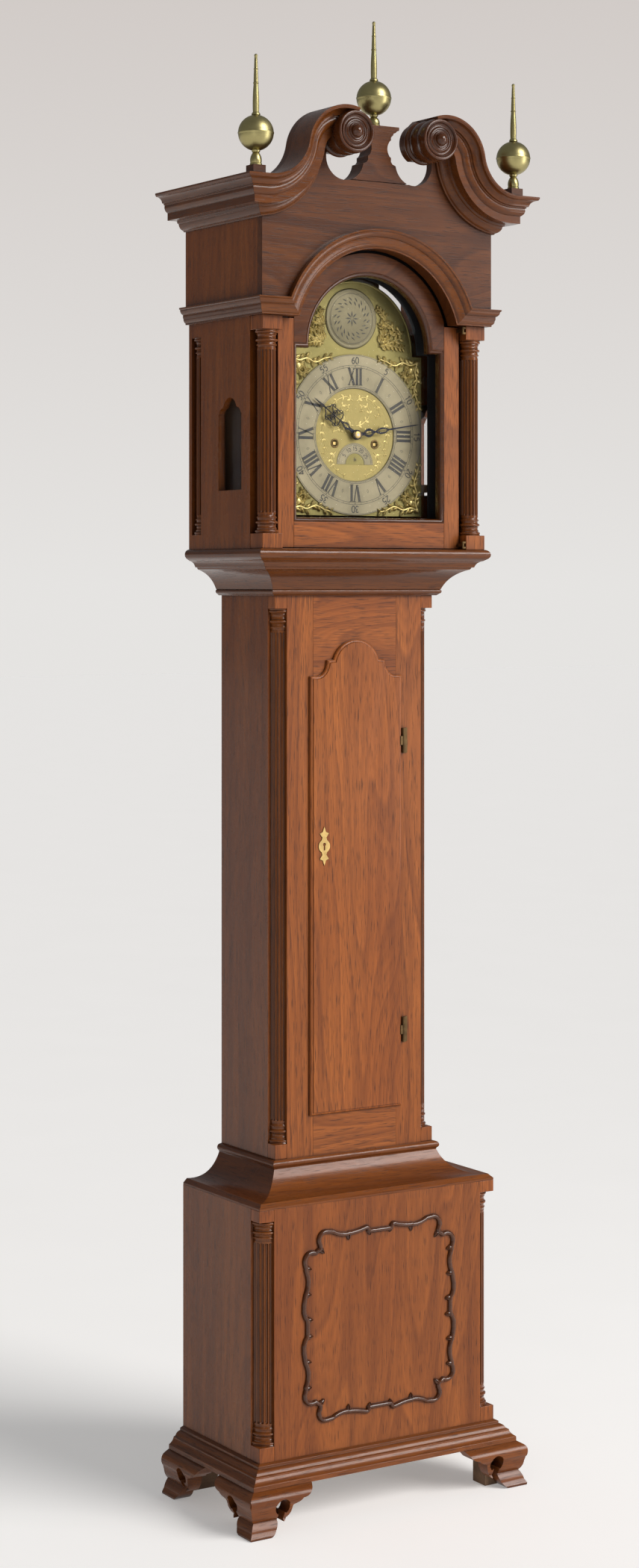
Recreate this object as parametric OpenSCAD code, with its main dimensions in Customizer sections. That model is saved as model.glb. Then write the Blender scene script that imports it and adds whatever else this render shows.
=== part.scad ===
// Tall-case clock with a swan-neck pediment, arched dial and eight-day movement.
// Frame: +Z up, front towards -Y, origin at the centre of the footprint on the floor.
// Depths in this file are measured forwards from the flat back of the case.

/* [Plinth] */
// Width of the plinth box
base_w = 483; // [480:1:486]
// Depth of the plinth box
base_d = 259; // [257:1:261]
// Height of the bracket feet
foot_h = 76; // [72:1:80]
// Top of the plinth box above the floor
base_top = 535; // [530:1:540]

/* [Trunk] */
// Width of the trunk
trunk_w = 326.8; // [324:0.2:330]
// Depth of the trunk
trunk_d = 181; // [179:1:183]
// Top of the trunk above the floor
trunk_top = 1567.5; // [1565:0.5:1570]
// Half the width of the trunk door's lip
door_half = 95; // [92:1:97]
// Bottom of the trunk door
door_z0 = 669; // [665:1:675]
// Height at which the trunk door's shoulders start
door_shoulder = 1428; // [1420:1:1432]

/* [Hood] */
// Width of the hood between the dial columns
hood_w = 459.2; // [458:0.2:461]
// Depth of the hood at the dial columns
hood_d = 248.7; // [247:0.1:250]
// Underside of the hood
hood_z0 = 1648; // [1647:1:1649]
// Underside of the moulding below the frieze
hood_z1 = 2041.5; // [2040:0.5:2043]
// Width of the frieze
frieze_w = 472.8; // [472:0.2:474]
// Depth of the frieze
frieze_d = 258.9; // [258:0.1:260]
// Top of the side cornices
cornice_top = 2268; // [2266:1:2270]

/* [Pediment] */
// Radius of the lower, hollow curve of each swan neck
neck_r_low = 74; // [72:1:76]
// Distance of each rosette from the centre line
rosette_x = 86.5; // [85:0.5:88]
// Radius of the rosette drums
rosette_r = 36; // [35:0.5:37]

/* [Dial] */
// Height of the dial's centre
dial_z = 1847.5; // [1846:0.5:1849]
// Outer radius of the chapter ring
ring_r = 140.5; // [139:0.5:141]
// Radius of the name disc in the arch
boss_r = 53; // [50:1:54]

/* [Movement] */
// Teeth on each great wheel
great_teeth = 96; // [96:12:96]
// Fall of the weights
weight_fall = 720; // [600:10:740]
// Radius of each winding drum
drum_r = 24; // [22:0.5:25]

/* [Hidden] */

// Colours
walnut = [0.42, 0.20, 0.10];
walnut_dark = [0.26, 0.13, 0.08];
board_brown = [0.30, 0.20, 0.13];
brass = [0.72, 0.58, 0.28];
steel = [0.30, 0.31, 0.34];
silver = [0.68, 0.66, 0.56];
lead = [0.35, 0.35, 0.36];
gut = [0.75, 0.62, 0.40];
clear = [0.7, 0.8, 0.8, 0.35];
black = [0.05, 0.05, 0.05];

// Frame of reference
scroll_reach = 61.5;
rosette_reach = 72;
total_d = frieze_d + rosette_reach;
back_y = total_d / 2;

// Heights that follow from the driving sizes
base_z0 = foot_h + 36.5;
trunk_z0 = base_top + 64;
arch_z = 1996;
arch_in = 168.5;
arch_out = 201.5;
arch_scale = (arch_out - arch_in) / 29.5;

// Board thicknesses
board_t = 14;
back_t = 12;
front_t = 18;
hood_t = 16;
hood_front = 208;

function fy(d) = back_y - d;
function flip(pts) = [for (p = pts) [-p.x, p.y]];
function rev(pts) = [for (i = [len(pts) - 1 : -1 : 0]) pts[i]];

// Points on a round arc about c, from angle a to angle b
function arc(c, r, a, b, n = 8) =
    [for (i = [0 : n]) c + r * [cos(a + (b - a) * i / n), sin(a + (b - a) * i / n)]];

// Shallow bow from p to q that stands s to the left of the chord
function bow(p, q, s, n = 6) =
    let (e = q - p, side = [-e.y, e.x] / norm(e))
    [for (i = [0 : n]) p + e * i / n + side * 4 * s * (i / n) * (1 - i / n)];

// Board between |x| limits, depths from the back and heights
module board(x0, x1, d0, d1, z0, z1) {
    translate([x0, fy(d1), z0])
        cube([x1 - x0, d1 - d0, z1 - z0]);
}

// Flat shape in the XZ plane, from depth d0 to depth d1
module slab(pts, d0, d1) {
    translate([0, fy(d0), 0])
        rotate([90, 0, 0])
            linear_extrude(d1 - d0)
                polygon(pts);
}

// Round bar along Y between two depths
module bar(x, z, r, d0, d1) {
    translate([x, fy(d0), z])
        rotate([90, 0, 0])
            cylinder(r = r, h = d1 - d0, $fn = 48);
}

module pair() {
    children();
    mirror([1, 0, 0])
        children();
}

// ---------- mouldings ----------

// Mitred moulding round the front and both sides of a box of half-width "half" and
// depth d. Profile points are [projection, height].
mitre_reach = 120;

function closed(prof) = concat([[0, prof[0].y]], prof, [[0, prof[len(prof) - 1].y]]);

module wedge_between(prof, corners) {
    low = min([for (p = prof) p.y]) - 1;
    high = max([for (p = prof) p.y]) + 1;
    translate([0, 0, low])
        linear_extrude(high - low)
            polygon(corners);
}

module wrap_moulding(half, d, prof) {
    out = half + mitre_reach;
    intersection() {
        rotate([90, 0, 90])
            translate([0, 0, -out])
                linear_extrude(2 * out)
                    polygon([for (p = closed(prof)) [fy(d) - p.x, p.y]]);
        wedge_between(prof, [[-half, fy(d)], [-out, fy(d + mitre_reach)],
                             [out, fy(d + mitre_reach)], [half, fy(d)]]);
    }
    pair()
        side_return(half, d, prof);
}

// One side return of a mitred moulding
module side_return(half, d, prof) {
    out = half + mitre_reach;
    intersection() {
        translate([0, back_y, 0])
            rotate([90, 0, 0])
                linear_extrude(d + mitre_reach)
                    polygon([for (p = closed(prof)) [-half - p.x, p.y]]);
        wedge_between(prof, [[-half, fy(0)], [-out, fy(0)], [-out, fy(d + mitre_reach)],
                             [-half, fy(d)]]);
    }
}

base_prof = concat(
    [[0, base_z0], [6.5, base_z0 - 3], [6.5, base_z0 - 7]],
    bow([6.5, base_z0 - 7], [15.9, base_z0 - 15], 1.8, 5),
    [[19.8, base_z0 - 16.5]],
    bow([19.8, base_z0 - 18], [27.6, base_z0 - 27.5], -1.2, 5),
    [[28.8, base_z0 - 28.5], [29, foot_h]]);

flare_prof = concat(
    [[0, trunk_z0 + 1]],
    arc([3.2, trunk_z0 - 6], 6.2, 70, -60, 8),
    [[5.4, trunk_z0 - 14]],
    bow([5.4, trunk_z0 - 14], [71, trunk_z0 - 53.5], -15, 12),
    [[74.4, trunk_z0 - 57], [78.1, trunk_z0 - 60.5], [78.1, base_top]]);

support_prof = concat(
    [[60, hood_z0]],
    arc([66, hood_z0 - 9], 9, 90, -60, 9),
    [[65.5, hood_z0 - 20]],
    bow([65.5, hood_z0 - 20], [54, hood_z0 - 31], -2.4, 5),
    [[50.4, hood_z0 - 32], [48.5, hood_z0 - 35]],
    bow([48.5, hood_z0 - 35], [11.5, trunk_top + 11], -6, 10),
    arc([8.2, trunk_top + 7], 4.2, 60, -70, 6),
    [[6, trunk_top]]);

mid_prof = concat(
    [[13.5, 29.5], [13.5, 27]],
    bow([11.5, 25.5], [5.8, 17], 1.6, 5),
    [[5.8, 12.5]],
    bow([4.6, 9.5], [0.6, 2.6], 1.2, 4),
    [[0.6, 0]]);

// Crown profile: [projection, distance below the top edge]
crown_prof = concat(
    [[scroll_reach, 0], [scroll_reach, 3], [59.5, 6]],
    bow([59.5, 6], [47.5, 16.5], 3, 5),
    [[44.5, 17.2], [44.5, 19.2]],
    bow([42.7, 20], [38, 32.4], -2.2, 5),
    [[36.8, 33], [36.8, 46], [18, 46], [17, 49.5]],
    bow([14.5, 50.5], [5, 62], -2.4, 5),
    [[4, 64]]);

// ---------- turned columns ----------

// Turned stack of rings: base of a column, standing on z = 0, shaft radius r
function column_base(r, h) = concat(
    [[0, 0], [r + 3.6, 0]],
    arc([r + 1.6, h * 0.12], 2.2, -60, 60, 5),
    bow([r + 1.4, h * 0.27], [r + 0.6, h * 0.46], 1.4, 4),
    arc([r + 0.8, h * 0.58], 2.1, -70, 70, 5),
    [[r - 0.2, h * 0.72]],
    arc([r - 0.2, h * 0.84], 1.5, -80, 80, 4),
    [[r - 0.6, h], [0, h]]);

// Fluted shaft between two heights
module shaft(r, z0, z1, flutes, sector = 360) {
    step = sector / flutes;
    flute_r = r * sin(step / 2) * 0.62;
    difference() {
        translate([0, 0, z0])
            cylinder(r = r, h = z1 - z0, $fn = 64);
        for (i = [0 : flutes - 1])
            rotate((i + 0.5) * step)
                translate([r + flute_r * 0.15, 0, z0 + 4])
                    cylinder(r = flute_r, h = z1 - z0 - 8, $fn = 20);
    }
}

// Whole turned column with capital and base, centred on the Z axis
module column(r, z0, z1, base_h, cap_h, flutes, sector = 360) {
    translate([0, 0, z0])
        rotate_extrude($fn = 64)
            polygon(column_base(r, base_h));
    shaft(r, z0 + base_h, z1 - cap_h, flutes, sector);
    translate([0, 0, z1])
        mirror([0, 0, 1])
            rotate_extrude($fn = 64)
                polygon(column_base(r, cap_h));
}

// Quarter column set into a corner notch that opens towards -X and -Y
module corner_column(x, d, notch, z0, z1, base_h, cap_h, foot_block, top_block) {
    r = notch - 5.5;
    corner_x = -x + notch;
    corner_d = d - notch;
    intersection() {
        translate([corner_x, fy(corner_d), 0])
            rotate(180)
                column(r, z0 + foot_block, z1 - top_block, base_h, cap_h, 5, 90);
        board(-x, corner_x, corner_d, d, z0, z1);
    }
    board(-x, corner_x, corner_d, d, z0, z0 + foot_block);
    board(-x, corner_x, corner_d, d, z1 - top_block, z1);
}

// ---------- plinth ----------

// Ogee face of the feet: [projection from the plinth, height]
foot_face = concat(
    [[10, 0], [42, 0], [42.5, 4]],
    bow([38.5, 11], [31.2, 26], -1, 4),
    bow([31.2, 26], [38.5, 42], -1.5, 4),
    arc([29.5, foot_h - 16.5], 14.6, -40, 55, 6),
    [[30, foot_h], [10, foot_h]]);

// Side view of a bracket: [distance in from the outer corner, height]
foot_bracket = concat(
    [[-2, foot_h + 1], [-2, -1], [40, -1], [40, 0]],
    bow([40, 0], [57, 24], -3, 5),
    [[68, 22]],
    bow([70, 21], [84, 47], -3, 5),
    bow([86, 49], [103, 58], -2, 4),
    bow([105, 58], [120, 67], -2, 4),
    [[128, foot_h + 1]]);

foot_reach = 42.5;
foot_len = 128;

// One wing of a foot: runs along +X from the outer corner, ogee face towards -Y
module foot_wing() {
    intersection() {
        rotate([90, 0, 90])
            linear_extrude(foot_len)
                polygon([for (p = foot_face) [-p.x, p.y]]);
        rotate([90, 0, 0])
            linear_extrude(60)
                difference() {
                    polygon(foot_bracket);
                    translate([64, 47])
                        circle(r = 14, $fn = 40);
                    polygon([[57, 38], [67, 38], [69, 18], [56, 18]]);
                }
    }
}

module foot_front() {
    outer = -base_w / 2 - foot_reach;
    translate([outer, fy(base_d), 0])
        foot_mitred();
    translate([-base_w / 2, fy(base_d + foot_reach), 0])
        rotate(90)
            mirror([0, 1, 0])
                foot_mitred();
    // Glue block behind the two wings
    board(-base_w / 2 - 11, -base_w / 2 + 26, base_d - 26, base_d + 11, 1, foot_h);
}

// Wing cut on the 45 degree mitre at its outer corner
module foot_mitred() {
    intersection() {
        foot_wing();
        translate([0, 0, -1])
            linear_extrude(foot_h + 2)
                polygon([[-0.1, -foot_reach - 0.1], [foot_reach + 1, 1], [foot_len + 1, 1],
                         [foot_len + 1, -foot_reach - 1]]);
    }
}

module foot_rear() {
    translate([-base_w / 2, back_y, 0])
        rotate(-90)
            foot_wing();
    board(-base_w / 2 - 11, -base_w / 2 + 60, 0, 18, 1, foot_h);
}

module feet() {
    color(walnut)
        pair() {
            foot_front();
            foot_rear();
        }
}

base_notch = 29;

module base_floor() {
    color(board_brown)
        difference() {
            board(-base_w / 2 + board_t, base_w / 2 - board_t, back_t, base_d - front_t,
                  base_z0, base_z0 + 14);
            pair()
                board(-base_w / 2, -base_w / 2 + base_notch, base_d - base_notch, base_d,
                      base_z0 - 1, base_z0 + 15);
        }
}

module base_front() {
    color(walnut)
        board(-base_w / 2 + base_notch, base_w / 2 - base_notch, base_d - front_t, base_d,
              foot_h, base_top);
}

module base_sides() {
    color(walnut)
        pair()
            board(-base_w / 2, -base_w / 2 + board_t, 0, base_d - base_notch,
                  foot_h, base_top);
}

module base_columns() {
    color(walnut)
        pair()
            corner_column(base_w / 2, base_d, base_notch, foot_h, base_top,
                          34, 34, base_z0 + 24.5 - foot_h, 20);
}

// Scalloped bead on the plinth's front. One quarter of its centre line, measured
// from the middle of the frame, runs from the top middle to the right-hand middle.
bead_z = 326;
bead_half = 4.6;
bead_quarter = concat(
    [[0, 151], [22, 151], [25, 157]],
    bow([29, 158], [64, 151.5], -1, 3),
    bow([66, 151.5], [97, 159], -2.4, 4),
    arc([111, 147], 13.5, 110, -25, 7),
    [[121, 134], [126, 129]],
    arc([139, 114], 14, 115, -15, 7),
    [[150, 103]],
    bow([151, 97], [151, 58], -5, 5),
    [[154, 40], [155, 24], [148, 16], [147, 0]]);

// Closed outline from its upper right quarter
function four_way(q) =
    let (half = concat(q, [for (i = [len(q) - 2 : -1 : 0]) [q[i].x, -q[i].y]]))
    concat(half, rev(flip([for (i = [1 : len(half) - 2]) half[i]])));

// Closed outline moved outwards by k
function grow(pts, k) =
    let (n = len(pts))
    [for (i = [0 : n - 1])
        let (e = pts[(i + 1) % n] - pts[(i + n - 1) % n])
        pts[i] + k * [-e.y, e.x] / norm(e)];

module base_bead() {
    ring = four_way(bead_quarter);
    color(walnut_dark)
        translate([0, fy(base_d), bead_z])
            rotate([90, 0, 0])
                linear_extrude(5)
                    difference() {
                        polygon(grow(ring, bead_half));
                        polygon(grow(ring, -bead_half));
                    }
}

module base_moulding() {
    color(walnut)
        wrap_moulding(base_w / 2, base_d, base_prof);
}

// ---------- trunk ----------

module flare_moulding() {
    color(walnut)
        wrap_moulding(trunk_w / 2, trunk_d, flare_prof);
}

module support_moulding() {
    color(walnut)
        wrap_moulding(trunk_w / 2, trunk_d, support_prof);
}

module backboard() {
    half = trunk_w / 2 - board_t;
    base_half = base_w / 2 - board_t;
    color(board_brown)
        slab([[-base_half, foot_h + 14], [base_half, foot_h + 14], [base_half, base_top],
              [half, base_top], [half, 2180], [-half, 2180], [-half, base_top],
              [-base_half, base_top]], 0, back_t);
}

trunk_notch = 24;
seat_z = 1750;

module trunk_sides() {
    color(walnut)
        pair()
            board(-trunk_w / 2, -trunk_w / 2 + board_t, 0, trunk_d - trunk_notch,
                  base_top, seat_z);
}

// Outline of the trunk door, moved in by k all round
function door_outline(k) =
    let (
        w = door_half - k,
        sx = door_half - 14,
        top = door_shoulder + 28,
        step_a = acos(min(1, (k + 0.5) / (28 + k))),
        arch_r = 49.5 - k,
        arch_c = door_shoulder + 13.5,
        arch_a = asin((top + 0.5 - k - arch_c) / arch_r),
        half = concat(
            [[w, door_z0 + k], [w, door_shoulder - k]],
            [for (i = [0 : 6]) let (t = step_a * i / 6)
                [sx - (21 + k) * sin(t), top - (28 + k) * cos(t)]],
            arc([0, arch_c], arch_r, arch_a, 90, 8)))
    concat(half, rev(flip([for (i = [0 : len(half) - 2]) half[i]])));

module trunk_front() {
    color(walnut)
        difference() {
            board(-trunk_w / 2 + trunk_notch, trunk_w / 2 - trunk_notch,
                  trunk_d - front_t, trunk_d, base_top, hood_z0);
            slab(door_outline(9), trunk_d - front_t - 1, trunk_d + 1);
        }
}

module trunk_columns() {
    color(walnut)
        pair()
            corner_column(trunk_w / 2, trunk_d, trunk_notch, trunk_z0 + 1, trunk_top,
                          36, 38, 25, 22.5);
}

hinge_x = door_half + 3.6;
hinge_d = trunk_d + 6;
hinge_z = [803, 1312];
pin_r = 1.6;

module waist_hinge_pins() {
    color(brass)
        for (z = hinge_z)
            translate([hinge_x, fy(hinge_d), z]) {
                for (s = [-1, 1])
                    translate([0, 0, s * 15 - 7])
                        cylinder(r = 3.4, h = 14, $fn = 32);
                translate([0, 0, -22])
                    cylinder(r = pin_r, h = 44, $fn = 32);
                for (s = [-1, 1])
                    translate([0, 1, s * 15 - 7])
                        cube([3.4, 5, 14]);
                translate([1.5, 4.2, -22])
                    cube([9, 1.8, 44]);
            }
}

module waist_door() {
    color(walnut)
        union() {
            slab(door_outline(11.6), trunk_d - front_t, trunk_d + 0.4);
            slab(door_outline(0), trunk_d + 0.3, trunk_d + 4);
            slab(door_outline(4), trunk_d + 3.9, trunk_d + 8);
        }
}

module waist_hinge_leaves() {
    color(brass)
        for (z = hinge_z)
            difference() {
                translate([hinge_x, fy(hinge_d), z]) {
                    translate([0, 0, -7.7])
                        cylinder(r = 3.4, h = 15.4, $fn = 32);
                    translate([-7.6, -2, -7.7])
                        cube([7.6, 4, 15.4]);
                }
                translate([hinge_x, fy(hinge_d), z - 9])
                    cylinder(r = pin_r + 0.05, h = 18, $fn = 32);
            }
}

keyhole_z = 1134;

key_upper = [[0, 33.6], [3.2, 24.5], [9.2, 22], [4, 15]];
key_right = concat(key_upper, arc([0, 0], 11.5, 60, -60, 12),
    rev([for (p = key_upper) [p.x, -p.y]]));

module escutcheon() {
    color(brass)
        translate([26 - door_half, fy(trunk_d + 8), keyhole_z])
            rotate([90, 0, 0])
                linear_extrude(1.4)
                    difference() {
                        polygon(concat(key_right, rev(flip([for (p = key_right)
                            if (p.x > 0) p]))));
                        translate([0, 3])
                            circle(r = 2.9, $fn = 24);
                        translate([-1.5, -7])
                            square([3, 9]);
                    }
}

// ---------- movement ----------

seat_t = 14;
plate_front = 150;
plate_back = 88;
plate_t = 3;
plate_half = 62;
drum_x = 41.5;
drum_z = dial_z - 15.5;
third_x = 16;
gear_m = 0.9;
centre_teeth = 64;
third_teeth = 60;
leaf_small = 8;
leaf_centre = 12;
centre_dist = gear_m * (centre_teeth + leaf_small) / 2;
third_dist = gear_m * (third_teeth + leaf_small) / 2;
third_z = dial_z + sqrt(centre_dist * centre_dist - third_x * third_x);
escape_z = third_z + sqrt(third_dist * third_dist - third_x * third_x);
anchor_z = escape_z + 28.3;
great_dist = sqrt(drum_x * drum_x + pow(dial_z - drum_z, 2));
great_m = 2 * great_dist / (great_teeth + leaf_centre);
arbor_r = 1.5;
centre_r = 2.5;
drum_arbor_r = 4;
fit = 0.05;

module seatboard() {
    color(board_brown)
        difference() {
            board(-trunk_w / 2 + 0.5, trunk_w / 2 - 0.5, 72, 168, seat_z, seat_z + seat_t);
            for (s = [-1, 1])
                translate([s * line_x, fy(line_d), seat_z - 1])
                    cylinder(r = 4, h = seat_t + 2, $fn = 24);
        }
}

module movement_plate(d) {
    z0 = seat_z + seat_t;
    difference() {
        board(-plate_half, plate_half, d, d + plate_t, z0, anchor_z + 14);
        for (s = [-1, 1])
            bar(s * drum_x, drum_z, drum_arbor_r + fit, d - 1, d + plate_t + 1);
        bar(0, dial_z, centre_r + fit, d - 1, d + plate_t + 1);
        bar(third_x, third_z, arbor_r + fit, d - 1, d + plate_t + 1);
        bar(0, escape_z, arbor_r + fit, d - 1, d + plate_t + 1);
        bar(0, anchor_z, arbor_r + fit, d - 1, d + plate_t + 1);
        bar(hammer_x, hammer_z, arbor_r + fit, d - 1, d + plate_t + 1);
    }
}

line_d = 118;
line_x = drum_x + drum_r + 1;
weight_x = line_x + 20.9;
hammer_x = 54;
hammer_z = anchor_z - 28;

module movement_plates() {
    color(brass)
        union() {
            movement_plate(plate_back);
            movement_plate(plate_front - plate_t);
            for (s = [-1, 1], z = [seat_z + seat_t + 12, anchor_z + 4])
                bar(s * (plate_half - 10), z, 5, plate_back + plate_t - 0.5,
                    plate_front - plate_t + 0.5);
            // Back cock that carries the pendulum's suspension
            difference() {
                board(-22, 22, 60, plate_back, anchor_z + 8, anchor_z + 13);
                board(-1.3, 1.3, 59, 70, anchor_z, anchor_z + 20);
            }
        }
    // Fixed ends of the gut lines between the drums and the seatboard
    color(gut)
        for (s = [-1, 1])
            translate([s * line_x, fy(line_d), seat_z])
                cylinder(r = 0.7, h = drum_z - seat_z, $fn = 24);
}

dial_front = 180;

// Outline of the arched dial plate
function dial_outline(w, z0, z1, r) = concat(
    [[-w, z0], [w, z0], [w, z1], [r, z1]],
    arc([0, arch_z], r, 0, 180, 24),
    [[-r, z1], [-w, z1]]);

module dial_plate() {
    color(brass)
        difference() {
            slab(dial_outline(141, dial_z - 141, dial_z + 141, 121), dial_front - 2, dial_front);
            for (s = [-1, 1])
                bar(s * drum_x, drum_z, 5.5, dial_front - 3, dial_front + 1);
            bar(0, dial_z, 6, dial_front - 3, dial_front + 1);
        }
    color(brass)
        for (s = [-1, 1], z = [dial_z - 60, dial_z + 70])
            bar(s * 52, z, 3, plate_front, dial_front - 2);
}

calendar_z = dial_z - 51.5;

module chapter_ring() {
    color(silver)
        difference() {
            bar(0, dial_z, ring_r, dial_front, dial_front + 2);
            bar(0, dial_z, 81, dial_front - 1, dial_front + 3);
        }
    // Half-round calendar sector below the centre
    color(silver)
        intersection() {
            difference() {
                bar(0, calendar_z, 37.5, dial_front, dial_front + 1);
                bar(0, calendar_z, 19.5, dial_front - 1, dial_front + 2);
            }
            board(-40, 40, dial_front - 1, dial_front + 2, calendar_z, calendar_z + 40);
        }
}

// Cast corner ornament between the ring and the plate's corner
module spandrels() {
    edge = 138;
    gap = 3;
    color(brass)
        difference() {
            for (sx = [-1, 1], sz = [-1, 1])
                slab([for (p = [[edge, edge], [edge, 40], [40, edge]])
                    [sx * p.x, dial_z + sz * p.y]], dial_front, dial_front + 4);
            bar(0, dial_z, ring_r + gap, dial_front - 1, dial_front + 6);
        }
    color(brass)
        difference() {
            intersection() {
                slab(dial_outline(110, arch_z - 4, arch_z + 2, 108), dial_front, dial_front + 4);
                board(-110, 110, dial_front - 1, dial_front + 5, arch_z - 1, arch_z + 92);
            }
            bar(-boss_x, boss_z, boss_r + gap, dial_front - 1, dial_front + 6);
            board(-50, 34, dial_front - 1, dial_front + 6, arch_z - 10, arch_z + 120);
        }
}

boss_x = 8;
boss_z = 2050;

module name_disc() {
    color(silver)
        translate([-boss_x, fy(dial_front), boss_z])
            rotate([90, 0, 0])
                rotate_extrude($fn = 96)
                    polygon(concat([[0, 0], [boss_r, 0], [boss_r, 1]],
                        bow([boss_r - 0.5, 1.6], [0, 4], 0.8, 5)));
}

module bell() {
    color(brass)
        translate([0, fy(116), 0]) {
            translate([0, 0, anchor_z + 44])
                rotate_extrude($fn = 72)
                    polygon(concat(
                        [[0, 30], [3, 30]],
                        bow([3, 30], [46, 0], 14, 8),
                        [[44.5, 0]],
                        rev(bow([3, 28], [44.5, 0], 13.4, 8)),
                        [[0, 28]]));
            translate([0, 0, anchor_z + 14])
                cylinder(r = 3, h = 59, $fn = 24);
            translate([0, 0, anchor_z + 74])
                cylinder(r = 7, h = 5, $fn = 6);
            translate([-6, -34, anchor_z + 14])
                cube([12, 68, 3]);
        }
}

// Toothed wheel lying in the XY plane
module gear(teeth, m, t, phase = 0) {
    r = teeth * m / 2;
    root = r - 1.15 * m;
    tip = r + 0.75 * m;
    pitch = 360 / teeth;
    linear_extrude(t)
        polygon([for (i = [0 : teeth - 1], q = [[-0.24, root], [-0.17, r], [-0.08, tip],
                                                [0.08, tip], [0.17, r], [0.24, root]])
            let (a = phase + (i + q[0]) * pitch)
            q[1] * [cos(a), sin(a)]]);
}

// Wheel with crossings, on its arbor's axis, at depth d
module train_wheel(teeth, m, x, z, d, t, phase = 0) {
    r = teeth * m / 2;
    translate([x, fy(d), z])
        rotate([90, 0, 0])
            difference() {
                gear(teeth, m, t, phase);
                for (i = [0 : 3])
                    rotate(45 + 90 * i)
                        translate([r * 0.52, 0, -1])
                            cylinder(r = r * 0.24, h = t + 2, $fn = 32);
            }
}

module pinion(leaves, m, x, z, d0, d1, phase = 0) {
    translate([x, fy(d0), z])
        rotate([90, 0, 0])
            gear(leaves, m, d1 - d0, phase);
}

great_d = 138;
centre_wheel_d = 91.6;
third_wheel_d = 94.6;
escape_d = 112;
// Direction from each arbor to the one that drives it
great_dir = atan2(drum_z - dial_z, -drum_x);
centre_dir = atan2(third_z - dial_z, third_x);
third_dir = atan2(escape_z - third_z, -third_x);

module centre_arbor() {
    color(steel) {
        bar(0, dial_z, centre_r, plate_back - 1, dial_front + 12);
        pinion(leaf_centre, great_m, 0, dial_z, great_d - 1, great_d + 5,
               great_dir + 180 / leaf_centre);
    }
    color(brass)
        train_wheel(centre_teeth, gear_m, 0, dial_z, centre_wheel_d, 2, centre_dir);
}

// A hand drawn along +Z in the XZ plane, turned to its time
module hand(pts, angle, d, t) {
    translate([0, fy(d), dial_z])
        rotate([90, angle, 0])
            linear_extrude(t)
                union() {
                    polygon(concat(pts, rev(flip(pts))));
                    circle(r = 9, $fn = 40);
                }
}

module minute_hand() {
    color(steel)
        difference() {
            hand(minute_outline, 80.5, dial_front + 9, 1.2);
            bar(0, dial_z, centre_r, dial_front + 8, dial_front + 11);
        }
}

minute_outline = concat(
    [[3.2, 0], [3, 14]],
    bow([3, 14], [3, 34], -4, 5),
    [[1.8, 38]],
    bow([1.8, 38], [1.6, 66], -3.2, 5),
    [[1.4, 70], [1.5, 122], [0.4, 132]]);

// Hour hand on its pipe, which turns round the centre arbor
module hour_hand() {
    color(steel)
        difference() {
            union() {
                hand(hour_outline, -54.5, dial_front + 5.5, 1.6);
                bar(0, dial_z, 4.6, plate_front + 4, dial_front + 6);
            }
            bar(0, dial_z, centre_r + fit, plate_front, dial_front + 9);
        }
}

hour_outline = concat(
    [[3.4, 0], [3.2, 18]],
    bow([3.2, 18], [2.6, 36], -4, 4),
    [[2.6, 40], [13, 46]],
    bow([13, 46], [12, 72], -3, 5),
    [[4, 78], [2, 92], [0.5, 106]]);

module great_wheel() {
    color(brass)
        difference() {
            train_wheel(great_teeth, great_m, -drum_x, drum_z, great_d, 3, great_dir + 180);
            bar(-drum_x, drum_z, drum_arbor_r + fit, great_d - 1, great_d + 4);
        }
}

module third_wheel() {
    color(steel) {
        bar(third_x, third_z, arbor_r, plate_back - 1, plate_front + 1);
        pinion(leaf_small, gear_m, third_x, third_z, centre_wheel_d - 0.3, centre_wheel_d + 3,
               centre_dir + 180 + 180 / leaf_small);
    }
    color(brass)
        train_wheel(third_teeth, gear_m, third_x, third_z, third_wheel_d, 2, third_dir);
}

module escape_wheel() {
    teeth = 30;
    tip = 20;
    color(steel) {
        bar(0, escape_z, arbor_r, plate_back - 1, plate_front + 1);
        pinion(leaf_small, gear_m, 0, escape_z, third_wheel_d - 1, third_wheel_d + 3,
               third_dir + 180 + 180 / leaf_small);
    }
    color(brass)
        translate([0, fy(escape_d), escape_z])
            rotate([90, 0, 0])
                difference() {
                    linear_extrude(1.6)
                        polygon([for (i = [0 : teeth - 1], q = [[0, tip], [0.16, 16.6], [0.8, 16.6]])
                            let (a = (i + q[0]) * 360 / teeth)
                            q[1] * [cos(a), sin(a)]]);
                    for (i = [0 : 3])
                        rotate(45 + 90 * i)
                            translate([9, 0, -1])
                                cylinder(r = 4, h = 4, $fn = 32);
                }
}

// Pallets stop short of the tooth tips, so the wheel turns freely past them
module anchor() {
    color(steel) {
        bar(0, anchor_z, arbor_r, 74, plate_front + 1);
        slab(concat(
            arc([0, anchor_z - 28.3], 22, 45, 135, 10),
            [[-19, anchor_z - 10], [-8, anchor_z + 3], [0, anchor_z + 5], [8, anchor_z + 3],
             [19, anchor_z - 10]]), escape_d, escape_d + 1.6);
        board(-1.5, 1.5, 74, 76, anchor_z - 110, anchor_z + 1);
        board(-1.5, 1.5, 60, 76, anchor_z - 112, anchor_z - 109);
    }
}

rod_d = 66;
bob_z = 1020;

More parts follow.
